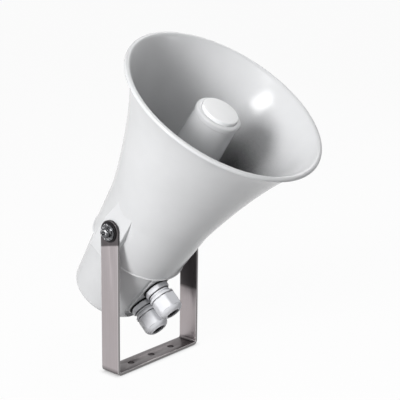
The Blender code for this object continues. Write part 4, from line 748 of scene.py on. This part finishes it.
@dataclass(frozen=True)
class Pose:
    """Where the horn stands and where its parts sit."""

    pivot_height: float = 0.1476
    tilt: float = math.radians(54.8)
    axis_drop: float = 0.0018
    arm_face: float = 0.0604
    boss_face: float = 0.0573
    flat_station: float = -0.069319
    flat_drop: float = 0.041392
    flat_tilt: float = math.radians(6.0)
    gland_pitch: float = 0.0296

    def pivot(self) -> Matrix:
        """The tilt axis, turned with the horn."""
        return Matrix.Translation((0, 0, self.pivot_height)) @ Matrix.Rotation(-self.tilt, 4, "Y")

    def horn(self) -> Matrix:
        """The horn's frame, its axis along X."""
        return self.pivot() @ Matrix.Translation((0, 0, -self.axis_drop))

    def along_horn(self) -> Matrix:
        """A seat whose Z runs along the horn's axis."""
        return self.horn() @ Matrix.Rotation(QUARTER, 4, "Y")

    def arm_seat(self, side: int) -> Matrix:
        """A seat on an arm's outer face whose Z runs outwards: side 1 is the left arm."""
        turn = Matrix.Rotation(side * QUARTER, 4, "Z") @ Matrix.Rotation(QUARTER, 4, "Y")
        return self.pivot() @ Matrix.Translation((0, side * self.arm_face, 0)) @ turn

    def gland_seat(self, side: int) -> Matrix:
        """A seat on the cover's flat whose Z runs along a gland.

        Args:
            side: 1 for the front gland, -1 for the rear one.

        Returns:
            The seat.
        """
        flat = Matrix.Translation((self.flat_station, 0, -self.flat_drop))
        tilt = Matrix.Rotation(self.flat_tilt, 4, "Y")
        step = Matrix.Translation((side * self.gland_pitch / 2, 0, 0))
        return self.horn() @ flat @ tilt @ step @ Matrix.Rotation(math.pi, 4, "Y")


@dataclass
class Bracket:
    """The folded stainless strip with round arm ends, base holes and pivot holes."""

    width: float = 0.023
    thickness: float = 0.0028
    inner_bend: float = 0.0020
    base_hole: float = 0.0035
    hole_pitch: float = 0.0302
    pivot_hole: float = 0.0033
    edge: float = 0.0003

    def folded(self, pose: Pose) -> Piece:
        """Fold a plane up into the strip's outer face and round the arms' ends.

        Args:
            pose: where the arms and the pivot stand.

        Returns:
            The face, its normals outwards.
        """
        bend = self.inner_bend + self.thickness
        reach = pose.arm_face - bend
        crown = pose.pivot_height + self.width / 2
        clear_selection()
        bpy.ops.mesh.primitive_plane_add(size=1.0, location=(0.0, 0.0, 0.0))
        bpy.context.object.scale = (self.width, reach * 2, 1.0)
        strip = started("strip")
        for side in (1, -1):
            choose(strip, lambda place, s=side: place.y * s > reach - NEAR)
            bpy.ops.mesh.spin(steps=10, angle=-QUARTER * side, axis=(1.0, 0.0, 0.0),
                              center=(0.0, side * reach, bend))
            bpy.ops.mesh.extrude_edges_move(
                TRANSFORM_OT_translate={"value": (0.0, 0.0, crown - bend)})
        bpy.ops.mesh.select_all(action="SELECT")
        bpy.ops.mesh.remove_doubles(threshold=MERGE)
        choose(strip, lambda place: place.z > crown - NEAR)
        bpy.ops.mesh.bevel(offset=self.width / 2 * 0.9995, segments=20, affect="VERTICES",
                           offset_type="OFFSET")
        close_up(MERGE)
        middle = min(strip.data.polygons, key=lambda face: face.center.length)
        if middle.normal.z > 0:
            bpy.ops.object.mode_set(mode="EDIT")
            bpy.ops.mesh.select_all(action="SELECT")
            bpy.ops.mesh.flip_normals()
            bpy.ops.object.mode_set(mode="OBJECT")
        return strip

    def build(self, pose: Pose) -> Piece:
        """Fold the strip, thicken it and drill it.

        Args:
            pose: where the arms and the pivot stand.

        Returns:
            The bracket.
        """
        strip = self.folded(pose)
        take(strip)
        wall = strip.modifiers.new("strip_thickness", "SOLIDIFY")
        wall.thickness = self.thickness
        wall.offset = -1.0
        wall.use_even_offset = True
        bpy.ops.object.modifier_apply(modifier=wall.name)
        drills = [rod("drill", Vector((0, place, -PAST)),
                      Vector((0, place, self.thickness + PAST)),
                      self.base_hole, 40) for place in (-self.hole_pitch, 0.0, self.hole_pitch)]
        for side in (-1, 1):
            ends = (pose.arm_face + PAST, pose.arm_face - self.thickness - PAST)
            drills.append(rod("drill", *(Vector((0, side * end, pose.pivot_height))
                                         for end in ends), self.pivot_hole, 32))
        work(strip, joined(drills), Cut.AWAY)
        soften(strip, self.edge, 2, 40.0)
        settle(strip, Matrix.Identity(4), 30.0)
        self._unroll(strip)
        return strip

    @staticmethod
    def _unroll(strip: Piece) -> None:
        """Lay a UV map along the strip: across it in U, along its length in V."""
        layer = strip.data.uv_layers.get("UVMap") or strip.data.uv_layers.new(name="UVMap")
        for loop in strip.data.loops:
            place = strip.data.vertices[loop.vertex_index].co
            along = math.copysign(abs(place.y) + place.z, place.y)
            layer.data[loop.index].uv = (place.x + place.y * 0.002, along)

    def dress(self, piece: Piece, finishes: Finishes) -> None:
        """Give the bracket its finish and body."""
        stands_for(piece, "bracket", "bracket", Slot.STRIP, finishes)


@dataclass
class PivotSet:
    """Bolt and washers of one arm."""

    side: int
    name: str
    bore: float = 0.0033
    dark: tuple[float, float, float] = (0.0003, 0.0013, 0.0100)
    flat: tuple[float, float, float] = (0.0016, 0.0030, 0.0085)
    spring: tuple[float, float, float] = (0.0033, 0.0047, 0.0059)
    washer_edge: float = 0.0002
    head_seat: float = 0.0050
    head_radius: float = 0.0053
    head_height: float = 0.0033
    bolt_radius: float = 0.0030
    bolt_end: float = -0.0108
    socket_flats: float = 0.0040
    socket_depth: float = 0.0020
    steps: int = 48

    def washer(self, start: float, end: float, radius: float) -> Piece:
        """A flat ring with rounded edges, between two stations and of an outside radius."""
        edge = self.washer_edge
        outline = [(start, self.bore)] + arc((start + edge, radius - edge), edge, 180, 90, 3)
        outline += arc((end - edge, radius - edge), edge, 90, 0, 3)
        outline += [(end, self.bore + edge), (end - edge, self.bore)]
        return turned("washer", outline, self.steps, True)

    def spring_washer(self) -> Piece:
        """A square wire wound almost once round, its ends a little apart."""
        start, end, radius = self.spring
        wire = (end - start) * 0.8
        clear_selection()
        bpy.ops.mesh.primitive_cube_add(
            size=1.0, location=((self.bore + radius) / 2, 0.0, start + wire / 2))
        bpy.context.object.scale = (radius - self.bore, 0.0001, wire)
        ring = started("spring_washer")
        start_editing(ring, "FACE")
        shape = bmesh.from_edit_mesh(ring.data)
        for face in shape.faces:
            face.select = face.normal.y < -0.9
        bmesh.update_edit_mesh(ring.data)
        bpy.ops.mesh.spin(steps=self.steps, angle=math.radians(341), center=(0.0, 0.0, 0.0),
                          axis=(0.0, 0.0, 1.0))
        close_up(MERGE)
        rise = (end - start) - wire
        for vertex in ring.data.vertices:
            turn = (math.atan2(vertex.co.y, vertex.co.x) - math.radians(9)) % math.tau
            vertex.co.z += rise * turn / math.tau
        soften(ring, 0.00012, 2, 50.0)
        return ring

    def bolt(self) -> Piece:
        """Button head with a hexagon socket, on its shank."""
        crown = self.head_seat + self.head_height
        corner = (self.head_seat + 0.0003, self.head_radius)
        outline = [(self.bolt_end, 0.0), (self.bolt_end, self.bolt_radius - 0.0005),
                   (self.bolt_end + 0.0005, self.bolt_radius), (self.head_seat, self.bolt_radius),
                   (self.head_seat, self.head_radius - 0.0003), corner]
        outline += curve(corner, (crown - 0.0002, self.head_radius * 0.93),
                         (crown, self.head_radius * 0.52), 8)
        bolt = turned("bolt", outline + [(crown, 0.0)], self.steps)
        work(bolt, hex_bar("key", self.socket_flats, crown - self.socket_depth, crown + PAST),
             Cut.AWAY)
        return bolt

    def build(self, pose: Pose, finishes: Finishes) -> None:
        """Build and dress the set on its arm."""
        made = (("dark_washer", self.washer(*self.dark), Slot.NYLON),
                ("flat_washer", self.washer(*self.flat), Slot.BOLT),
                ("spring_washer", self.spring_washer(), Slot.BOLT),
                ("bolt", self.bolt(), Slot.BOLT))
        for kind, piece, slot in made:
            settle(piece, pose.arm_seat(self.side))
            stands_for(piece, "pivot_%s_%s" % (kind, self.name), "horn", slot, finishes)


@dataclass
class Bell:
    """The flared moulding: rim, bosses, skirt, bulkhead and chamber."""

    mouth_station: float = 0.16147
    mouth_radius: float = 0.1029
    rim: float = 0.0020
    wall: float = 0.0030
    flare_station: float = 0.0204
    flare_radius: float = 0.0545
    start_slope: float = 0.16
    end_slope: float = 0.85
    start_pull: float = 0.0300
    end_pull: float = 0.0320
    skirt_station: float = -0.0330
    skirt_radius: float = 0.0510
    skirt_bead: float = 0.0010
    bead_rise: float = 0.0006
    socket_radius: float = 0.0475
    socket_floor: float = -0.0220
    chamber_radius: float = 0.0450
    bulkhead_rear: float = 0.0040
    bulkhead_front: float = 0.0090
    fillet: float = 0.0060
    bore: float = 0.0104
    boss_half: float = 0.0150
    boss_root: float = 0.0087
    boss_flat: float = 0.0060
    boss_front: float = 0.0400
    boss_drop: float = 0.0048
    boss_taper: float = 0.70
    boss_edge: float = 0.0012
    pocket_radius: float = 0.0048
    pocket_depth: float = 0.0096
    lip: float = 0.0016
    steps: int = 128
    flare_steps: int = 36

    def flare(self, inset: float) -> list[tuple[float, float]]:
        """The flare's curve, moved inwards by a wall.

        Args:
            inset: how far inside the outer surface.

        Returns:
            Its points from the neck to the rim.
        """
        start = Vector((self.flare_station, self.flare_radius))
        end = Vector((self.mouth_station - self.rim, self.mouth_radius - self.rim * 1.2))
        first = start + Vector((1, self.start_slope)).normalized() * self.start_pull
        second = end - Vector((1, self.end_slope)).normalized() * self.end_pull
        points = []
        for share in (step / self.flare_steps for step in range(self.flare_steps + 1)):
            rest = 1 - share
            point = (start * rest ** 3 + first * 3 * rest ** 2 * share
                     + second * 3 * rest * share ** 2 + end * share ** 3)
            ahead = ((first - start) * rest ** 2 + (second - first) * 2 * rest * share
                     + (end - second) * share ** 2)
            point += Vector((ahead.y, -ahead.x)).normalized() * inset
            points.append((point.x, point.y))
        return points

    def boss(self, pose: Pose, side: int) -> Piece:
        """The flat pad that an arm clamps, running out into the flare.

        Args:
            pose: where the arm stands.
            side: 1 for the left one, -1 for the right one.

        Returns:
            The boss, its inner half inside the shell.
        """
        low, high = sorted((side * (pose.boss_face - self.boss_root), side * pose.boss_face))
        middle = -pose.axis_drop
        boss = block("boss", Vector((middle - self.boss_half, low, self.skirt_station)),
                     Vector((middle + self.boss_half, high, self.boss_flat)))
        choose(boss, lambda place: place.z > self.boss_flat - NEAR)
        bpy.ops.mesh.extrude_region_move(TRANSFORM_OT_translate={
            "value": (0.0, -side * self.boss_drop, self.boss_front - self.boss_flat)})
        bpy.ops.transform.resize(value=(self.boss_taper, 1.0, 1.0),
                                 center_override=(middle, 0.0, 0.0))
        bpy.ops.object.mode_set(mode="OBJECT")
        soften(boss, self.boss_edge, 4, 5.0)
        return boss

    def cavity(self) -> list[tuple[float, float]]:
        """The outline of the air in front of the bulkhead, with the lip's soft inner edge."""
        inner = self.flare(self.wall)
        root = (self.bulkhead_front + self.fillet, inner[0][1] - self.fillet)
        edge = inner[-1][1]
        outline = [(self.bulkhead_rear - PAST, 0.0), (self.bulkhead_rear - PAST, self.bore),
                   (self.bulkhead_front, self.bore)]
        outline += arc(root, self.fillet, 180, 92, 8) + inner[:-1]
        outline += curve(inner[-2], (self.mouth_station, edge),
                         (self.mouth_station, edge + self.lip), 5)
        return outline + [(self.mouth_station + PAST, edge + self.lip),
                          (self.mouth_station + PAST, 0.0)]

    def build(self, pose: Pose, finishes: Finishes) -> None:
        """Turn the shell, add the bosses, hollow it and dress it."""
        outline = [(self.skirt_station, 0.0)]
        outline += arc((self.skirt_station + self.skirt_bead,
                        self.skirt_radius + self.bead_rise - self.skirt_bead),
                       self.skirt_bead, 180, 0, 8)
        outline += self.flare(0.0)[:-1] + arc((self.mouth_station - self.rim,
                                               self.mouth_radius - self.rim), self.rim, 140, 0, 10)
        outline += [(self.mouth_station, 0.0)]
        shell = turned("bell_shell", outline, self.steps)
        for side in (-1, 1):
            work(shell, self.boss(pose, side), Cut.JOIN)
        work(shell, turned("cavity", self.cavity(), self.steps), Cut.AWAY)
        behind = self.skirt_station - PAST
        chamber = [(behind, 0.0), (behind, self.socket_radius),
                   (self.socket_floor, self.socket_radius),
                   (self.socket_floor, self.chamber_radius),
                   (self.bulkhead_rear, self.chamber_radius), (self.bulkhead_rear, 0.0)]
        work(shell, turned("chamber", chamber, 64), Cut.AWAY)
        pockets = [rod("pocket", *(Vector((-pose.axis_drop, side * (pose.boss_face + step), 0))
                                   for step in (PAST, -self.pocket_depth)),
                       self.pocket_radius, 32) for side in (-1, 1)]
        work(shell, joined(pockets), Cut.AWAY)
        settle(shell, pose.along_horn(), 34.0)
        stands_for(shell, "bell", "horn", Slot.SHELL, finishes)


@dataclass
class Reflector:
    """The closed cup in the mouth and its plug."""

    front: float = 0.1472
    rear: float = 0.0220
    rear_radius: float = 0.0265
    rear_edge: float = 0.0009
    neck: float = 0.1410
    neck_radius: float = 0.0224
    lip_radius: float = 0.0232
    shoulder: float = 0.0022
    wall: float = 0.0022
    tube_mouth: float = 0.1220
    bend_depth: float = 0.0120
    boss_radius: float = 0.0060
    bore: float = 0.0023
    screw_head: float = 0.0036
    screw_seat: float = 0.0030
    plug_radius: float = 0.0183
    plug_seat: float = 0.1437
    plug_front: float = 0.1505
    plug_edge: float = 0.0009
    plug_wall: float = 0.0020
    steps: int = 96

    def cup(self) -> Piece:
        """The cup, hollow from behind, with the seat of the plug in front."""
        bend = self.tube_mouth + self.bend_depth
        share = (bend - self.rear) / (self.neck - self.rear)
        bend_radius = self.rear_radius + (self.neck_radius - self.rear_radius) * share - self.wall
        middle = (bend_radius + self.boss_radius) / 2
        hollow = (bend_radius - self.boss_radius) / 2
        turn = [(bend + (x - bend) * 0.75, r)
                for x, r in arc((bend, middle), hollow, -90, 90, 12)]
        rim = self.plug_radius + GAP
        head = self.screw_head + GAP
        seat = self.plug_seat - self.screw_seat
        outline = [(self.rear, self.rear_radius - self.wall)]
        outline += arc((self.rear + self.rear_edge, self.rear_radius - self.rear_edge),
                       self.rear_edge, 180, 92, 3)
        outline += [(self.neck, self.neck_radius),
                    (self.neck + 0.0004, self.neck_radius + 0.00025),
                    (self.neck + 0.0008, self.lip_radius)]
        outline += arc((self.front - self.shoulder, self.lip_radius - self.shoulder),
                       self.shoulder, 88, 0, 8)
        outline += [(self.front, rim + 0.0003), (self.front - 0.0003, rim), (self.plug_seat, rim),
                    (self.plug_seat, head), (seat, head), (seat, self.bore),
                    (self.tube_mouth + GAP, self.bore),
                    (self.tube_mouth + GAP, self.boss_radius)]
        return turned("cup", outline + turn, self.steps, True)

    def plug(self) -> Piece:
        """The flat raised disc with a rounded edge."""
        inner = self.plug_radius - self.plug_wall
        outline = [(self.plug_seat + GAP, inner), (self.plug_seat + GAP, self.plug_radius)]
        outline += arc((self.plug_front - self.plug_edge, self.plug_radius - self.plug_edge),
                       self.plug_edge, 90, 4, 6)
        outline += [(self.plug_front, 0.0), (self.plug_front - self.plug_wall, 0.0),
                    (self.plug_front - self.plug_wall, inner)]
        return turned("plug", outline, self.steps, True)

    def build(self, pose: Pose, finishes: Finishes) -> None:
        """Build and dress the cup and its plug."""
        for piece, node, slot in ((self.cup(), "reflector", Slot.SHELL),
                                  (self.plug(), "reflector_plug", Slot.PLUG)):
            stands_for(settle(piece, pose.along_horn()), node, "horn", slot, finishes)


@dataclass
class RearCover:
    """The tapered drum behind the skirt, with the flat for the glands and its screws."""

    rear: float = -0.10595
    shoulder_station: float = -0.0333
    shoulder_radius: float = 0.0477
    shoulder_edge: float = 0.0004
    draft: float = 0.0974
    spigot_radius: float = 0.0472
    spigot_station: float = -0.0240
    rear_round: float = 0.0070
    wall: float = 0.0030
    screw_circle: float = 0.0330
    screw_bore: float = 0.0023
    post_radius: float = 0.0055
    post_end: float = -0.0370
    pocket_radius: float = 0.0038
    pocket_depth: float = 0.0050
    seat_half: float = 0.0158
    mill_margin: float = 0.0040
    mill_reach: float = 0.0120
    pad_half: float = 0.0152
    pad_height: float = 0.0021
    gland_bore: float = 0.0101
    head_height: float = 0.0030
    head_radius: float = 0.0035
    screw_tip: float = -0.0244
    screw_radius: float = 0.0020
    tip_edge: float = 0.0004
    socket_flats: float = 0.0025
    socket_depth: float = 0.0014
    steps: int = 128

    def radius(self, station: float) -> float:
        """Outside of the drum at a station."""
        return self.shoulder_radius - self.draft * (self.shoulder_station - station)

    def corners(self) -> list[tuple[float, float]]:
        """Middles of the four screws, across the axis."""
        turns = (math.pi / 4 + QUARTER * index for index in range(4))
        return [(self.screw_circle * math.cos(turn), self.screw_circle * math.sin(turn))
                for turn in turns]

    def rods_round(self, start: float, end: float, radius: float, steps: int) -> Piece:
        """Four rods on the screws' circle between two stations, as one tool."""
        return joined([rod("rod", Vector((x, y, start)), Vector((x, y, end)), radius, steps)
                       for x, y in self.corners()])

    @staticmethod
    def slot_tool(name: str, half: float, low: float, high: float) -> Piece:
        """A slab along the two glands with a round rear end.

        Args:
            name: its name.
            half: half its width.
            low: underside, along the glands.
            high: top.

        Returns:
            The slab.
        """
        end = rod(name, Vector((0, 0, low)), Vector((0, 0, high)), half, 96)
        work(end, block("slab", Vector((-0.075, -half, low)), Vector((0, half, high))), Cut.JOIN)
        return end

    def hollow(self, corner: tuple[float, float], to_seat: Matrix) -> Piece:
        """The air inside, clear of the gland seat's wall and of the screw posts.

        Args:
            corner: middle of the rear rounding.
            to_seat: from the horn's axis to the glands' seat.

        Returns:
            The tool.
        """
        inside = self.spigot_radius - self.wall
        cavity = [(self.rear + self.wall, 0.0)] + arc(corner, self.rear_round - self.wall,
                                                      180, 90, 4)
        cavity += [(self.shoulder_station, inside), (self.spigot_station + PAST, inside),
                   (self.spigot_station + PAST, 0.0)]
        hollow = turned("hollow", cavity, 64)
        pad = block("pad", Vector((-0.046, -self.seat_half - self.wall, -self.wall)),
                    Vector((0.026, self.seat_half + self.wall, 0.02)))
        carry(pad, to_seat)
        work(hollow, pad, Cut.AWAY)
        work(hollow, self.rods_round(self.rear, self.post_end, self.post_radius, 24), Cut.AWAY)
        return hollow

    def build(self, pose: Pose, finishes: Finishes) -> None:
        """Turn the drum, mill the flat, hollow it, drill it and dress it."""
        start = self.rear + self.rear_round
        corner = (start, self.radius(start) - self.rear_round)
        edge = self.shoulder_station - self.shoulder_edge
        outline = [(self.rear, 0.0)] + arc(corner, self.rear_round, 180, 92, 12)
        outline += [(edge, self.radius(edge)),
                    (self.shoulder_station, self.shoulder_radius - self.shoulder_edge),
                    (self.shoulder_station, self.spigot_radius),
                    (self.spigot_station, self.spigot_radius), (self.spigot_station, 0.0)]
        drum = turned("drum", outline, self.steps)
        to_seat = pose.along_horn().inverted() @ pose.gland_seat(-1)
        pad = self.slot_tool("pad", self.pad_half, -self.pad_height - PAST, 0.0)
        mill = self.slot_tool("mill", self.seat_half + self.mill_margin, -self.pad_height,
                              self.mill_reach)
        work(mill, pad, Cut.AWAY)
        carry(mill, to_seat)
        work(drum, mill, Cut.AWAY)
        soften(drum, 0.0005, 3, 50.0)
        work(drum, self.hollow(corner, to_seat), Cut.AWAY)
        work(drum, self.rods_round(self.rear - PAST, self.rear + self.pocket_depth,
                                   self.pocket_radius, 40), Cut.AWAY)
        work(drum, self.rods_round(self.rear, self.post_end + PAST, self.screw_bore, 24),
             Cut.AWAY)
        bores = []
        for side in (-1, 1):
            seat = pose.along_horn().inverted() @ pose.gland_seat(side)
            bores.append(rod("bore", seat @ Vector((0, 0, -self.wall - PAST)),
                             seat @ Vector((0, 0, PAST)), self.gland_bore, 48))
        work(drum, joined(bores), Cut.AWAY)
        settle(drum, pose.along_horn(), 34.0)
        stands_for(drum, "rear_cover", "horn", Slot.SHELL, finishes)
        for index, corner in enumerate(self.corners(), 1):
            seat = pose.along_horn() @ Matrix.Translation((*corner, 0))
            stands_for(settle(self.screw(), seat), "cover_screw_%d" % index, "horn", Slot.BOLT,
                       finishes)

    def screw(self) -> Piece:
        """One cover screw with a rounded head and a hexagon socket."""
        under = self.rear + self.pocket_depth - GAP
        top = under - self.head_height
        tip, radius = self.screw_tip, self.screw_radius
        corner = (under - 0.0002, self.head_radius)
        outline = [(tip, 0.0), (tip, radius - self.tip_edge), (tip - self.tip_edge, radius),
                   (under, radius), (under, self.head_radius - 0.0002), corner]
        outline += curve(corner, (top + 0.0001, self.head_radius - 0.0002), (top, 0.0022), 6)
        screw = turned("cover_screw", outline + [(top, 0.0)], 36)
        work(screw, hex_bar("key", self.socket_flats, top - PAST, top + self.socket_depth),
             Cut.AWAY)
        return screw


@dataclass
class CableGland:
    """One gland: sealing washer, body, domed nut and rubber seal, drawn from its seat upwards."""

    side: int
    name: str
    flats: float = 0.0240
    round_radius: float = 0.0134
    thread: float = 0.0098
    bore: float = 0.0070
    steps: int = 72

    def washer(self) -> Piece:
        """The sealing washer under the flange."""
        outline = [(0.0003, self.thread + GAP)]
        outline += arc((0.0009, self.round_radius + 0.0001), 0.0006, 180, 0, 6)
        return turned("gland_washer", outline + [(0.0015, self.thread + GAP)], self.steps, True)

    def body(self) -> Piece:
        """Body: lower thread, chamfered hexagon, neck with a groove and the clamping cage."""
        r, upper = self.round_radius, self.thread
        outline = [(-0.0115, self.bore), (-0.0115, upper - 0.0005), (-0.0110, upper),
                   (0.0018, upper), (0.0018, r - 0.0009), (0.0024, r), (0.0060, r),
                   (0.0068, r - 0.0011), (0.0068, 0.0105), (0.0076, 0.0105), (0.0079, 0.0112),
                   (0.0094, 0.0112), (0.0096, 0.0108), (0.0106, 0.0108), (0.0108, 0.0106),
                   (0.0108, upper), (0.0193, upper), (0.0193, 0.0095), (0.0253, 0.0095),
                   (0.0253, 0.0083), (0.01363, 0.0083), (0.01363, self.bore)]
        piece = turned("gland_body", outline, self.steps, True)
        work(piece, hex_ring("flats", self.flats, 0.0016, 0.00685), Cut.AWAY)
        return piece

    def nut(self) -> Piece:
        """Nut: round collar, six flats with chamfered ends and a dome round the mouth."""
        r, inner = self.round_radius, self.thread + GAP
        outline = [(0.0111, inner), (0.0111, r - 0.0007), (0.0117, r - 0.0001), (0.0136, r),
                   (0.0140, r - 0.0010), (0.0145, r - 0.0010), (0.0147, r), (0.0268, r)]
        outline += curve((0.0268, r), (0.0318, 0.0127), (0.0330, 0.0093), 10)
        outline += [(0.0335, 0.0088), (0.0336, 0.0084), (0.0336, self.bore + 0.0004),
                    (0.0332, self.bore), (0.0256, 0.0098), (0.0193, inner)]
        piece = turned("gland_nut", outline, self.steps, True)
        work(piece, hex_ring("flats", self.flats, 0.0143, 0.0290), Cut.AWAY)
        return piece

    @staticmethod
    def seal() -> Piece:
        """The rubber ring that grips the cable, seen down the mouth."""
        outline = [(0.01393, 0.0046), (0.01393, 0.0080), (0.0253, 0.0080), (0.0318, 0.0067)]
        outline += curve((0.0318, 0.0067), (0.0325, 0.0056), (0.0316, 0.0049), 5)
        return turned("gland_seal", outline + [(0.0308, 0.0046)], 48, True)

    def build(self, pose: Pose, finishes: Finishes) -> None:
        """Build and dress the gland on its seat."""
        made = (("gland_washer_", self.washer(), "horn", Slot.RUBBER),
                ("gland_body_", self.body(), "horn", Slot.GLAND),
                ("gland_nut_", self.nut(), "gland_nut_" + self.name, Slot.GLAND),
                ("gland_seal_", self.seal(), "horn", Slot.RUBBER))
        for kind, piece, rider, slot in made:
            settle(piece, pose.gland_seat(self.side), 15.0)
            stands_for(piece, kind + self.name, rider, slot, finishes)


class HeldInside:
    """The pieces inside the housing, which keep their solids and get their finishes."""

    SLOTS = {
        Slot.SHELL: ("tone_tube", "gland_locknut_front", "gland_locknut_rear"),
        Slot.CASTING: ("throat_plate", "phase_plug"),
        Slot.STEEL: ("top_plate", "pole_yoke", "chassis_plate", "transformer_frame"),
        Slot.FERRITE: ("ring_magnet",),
        Slot.FILM: ("diaphragm",),
        Slot.COPPER: ("voice_coil", "transformer_winding"),
        Slot.IRON: ("transformer_core",),
        Slot.BLOCK: ("terminal_block",),
        Slot.RUBBER: ("cover_gasket",),
        Slot.BRASS: ("pivot_insert_left", "pivot_insert_right"),
        Slot.NYLON: ("diaphragm_ring", "driver_lead_left", "driver_lead_right"),
    }

    def dress(self, nodes: dict[str, Piece], finishes: Finishes, replaced: set[str]) -> None:
        """Give every solid that still shows a finish, the screws that of the bolts.

        Args:
            nodes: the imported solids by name.
            finishes: all finishes.
            replaced: the solids that a new piece stands for.
        """
        slots = {node: slot for slot, names in self.SLOTS.items() for node in names}
        for name, node in nodes.items():
            if name in replaced:
                continue
            material = finishes[slots.get(name, Slot.BOLT)]
            node.data.materials.clear()
            node.data.materials.append(material)
            LOG.info("%s keeps its solid, in %s", name, material.name)


# --------------------------------------------------------------------- studio


@dataclass
class Studio:
    """Pale floor, soft lights and the camera of the photograph."""

    azimuth: float = math.radians(40.1876)
    elevation: float = math.radians(13.9411)
    roll: float = math.radians(0.7626)
    distance: float = 1.04881
    lens: float = 96.3836
    target: Vector = field(default_factory=lambda: Vector((0.05535, 0.010057, 0.176198)))
    fill: float = 0.05
    floor_tone: float = 0.50
    floor_glow: float = 0.955
    contact: float = 0.006

    # Name, metres to the camera's right, above the target and towards the camera, width and
    # height of the face, and watts.
    LAMPS = (
        ("key_softbox", -0.82, 0.57, 1.12, (0.42, 0.62), 20.0),
        ("front_softbox", -0.10, 0.95, 1.10, (0.50, 0.50), 3.8),
        ("top_softbox", 0.50, 1.40, 0.05, (0.50, 0.50), 4.4),
        ("right_strip", 1.40, 0.10, 0.10, (0.25, 0.25), 1.1),
        ("back_softbox", 0.50, 1.05, -1.15, (0.70, 0.70), 4.2),
    )

    def axes(self) -> tuple[Vector, Vector, Vector]:
        """Right, up and back of the camera."""
        az, el = self.azimuth, self.elevation
        back = Vector((math.sin(az) * math.cos(el), -math.cos(az) * math.cos(el), math.sin(el)))
        right = Vector((math.cos(az), math.sin(az), 0.0))
        up = back.cross(right)
        cos, sin = math.cos(self.roll), math.sin(self.roll)
        return right * cos + up * sin, up * cos - right * sin, back

    def camera(self) -> None:
        """Set the camera at the photograph's viewing angle."""
        right, up, back = self.axes()
        data = bpy.data.cameras.new("photo_camera")
        data.sensor_width = 36.0
        data.sensor_height = 36.0
        data.lens = self.lens
        data.clip_end = 60.0
        camera = bpy.data.objects.new("photo_camera", data)
        turn = Matrix((right, up, back)).transposed().to_4x4()
        camera.matrix_world = Matrix.Translation(self.target + back * self.distance) @ turn
        bpy.context.scene.collection.objects.link(camera)
        bpy.context.scene.camera = camera

    def lamp(self, name: str, side: float, height: float, towards: float,
             size: tuple[float, float], power: float) -> None:
        """A soft lamp placed about the camera's axes.

        Args:
            name: its name.
            side: metres to the camera's right.
            height: metres above the target.
            towards: metres towards the camera.
            size: width and height of its face.
            power: its power in watts.
        """
        right, _, back = self.axes()
        level = Vector((back.x, back.y, 0.0)).normalized()
        data = bpy.data.lights.new(name, "AREA")
        data.shape = "RECTANGLE"
        data.size, data.size_y = size
        data.energy = power
        lamp = bpy.data.objects.new(name, data)
        place = self.target + right * side + Vector((0, 0, height)) + level * towards
        lamp.matrix_world = Matrix.Translation(place) @ (
            place - self.target).to_track_quat("Z", "Y").to_matrix().to_4x4()
        bpy.context.scene.collection.objects.link(lamp)

    def floor(self) -> None:
        """A wide pale floor that keeps the shadow and is white to the camera elsewhere."""
        clear_selection()
        bpy.ops.mesh.primitive_plane_add(size=16.0, location=(0.0, 0.0, -0.0006))
        floor = started("studio_floor")
        mix = Recipe("studio_floor_white")
        tone = mix.blend(mix.noise(mix.evenly, 3.0), (0.80, 0.80, 0.80), (0.82, 0.82, 0.82))
        tone = mix.blend(mix.rays()["Is Diffuse Ray"], tone, (self.floor_tone,) * 3)
        mix.tree.links.new(tone, mix.shader.inputs["Base Color"])
        mix.shader.inputs["Roughness"].default_value = 0.9
        touch = mix.add("AmbientOcclusion", {"Distance": self.contact}, "AO", samples=6)
        share = mix.product(mix.span(mix.seen(), 0.0, 1.0, 0.0, self.floor_glow), touch)
        both = mix.either(share, mix.shader.outputs["BSDF"], mix.add("Emission", {}))
        mix.tree.links.new(both, mix.out.inputs["Surface"])
        floor.data.materials.append(mix.material)

    def world(self) -> None:
        """White where the camera looks past the floor, a soft fill for everything else."""
        world = bpy.data.worlds.new("studio_world")
        bpy.context.scene.world = world
        world.use_nodes = True
        mix = Wiring(world.node_tree)
        level = mix.span(mix.rays()["Is Camera Ray"], 0.0, 1.0, 1.0, 1.25)
        light = mix.add("Background", {"Color": (0.97, 0.985, 1.0, 1.0), "Strength": self.fill})
        white = mix.add("Background", {"Color": (0.8, 0.8, 0.8, 1.0), "Strength": level})
        out = mix.tree.nodes.new("ShaderNodeOutputWorld")
        mix.tree.links.new(mix.either(mix.seen(), light, white), out.inputs["Surface"])

    def build(self) -> None:
        """Set camera, floor, world and lamps."""
        self.camera()
        self.floor()
        self.world()
        for lamp in self.LAMPS:
            self.lamp(*lamp)
        bpy.context.scene.view_settings.view_transform = "Standard"


def main() -> None:
    """Build every sub-assembly in order, dress it and set up the studio."""
    logging.basicConfig(level=logging.INFO, format="%(name)s: %(message)s")
    pose = Pose()
    finishes = Finishes()
    Studio().build()
    bracket = Bracket()
    bracket.dress(bracket.build(pose), finishes)
    for side, name in ((-1, "right"), (1, "left")):
        PivotSet(side, name).build(pose, finishes)
    Bell().build(pose, finishes)
    Reflector().build(pose, finishes)
    RearCover().build(pose, finishes)
    for side, name in ((1, "front"), (-1, "rear")):
        CableGland(side, name).build(pose, finishes)
    replaced = {piece.name[:-5] for piece in bpy.data.objects if piece.name.endswith("_form")}
    HeldInside().dress(frame["nodes"], finishes, replaced)


if __name__ == "__main__":
    main()
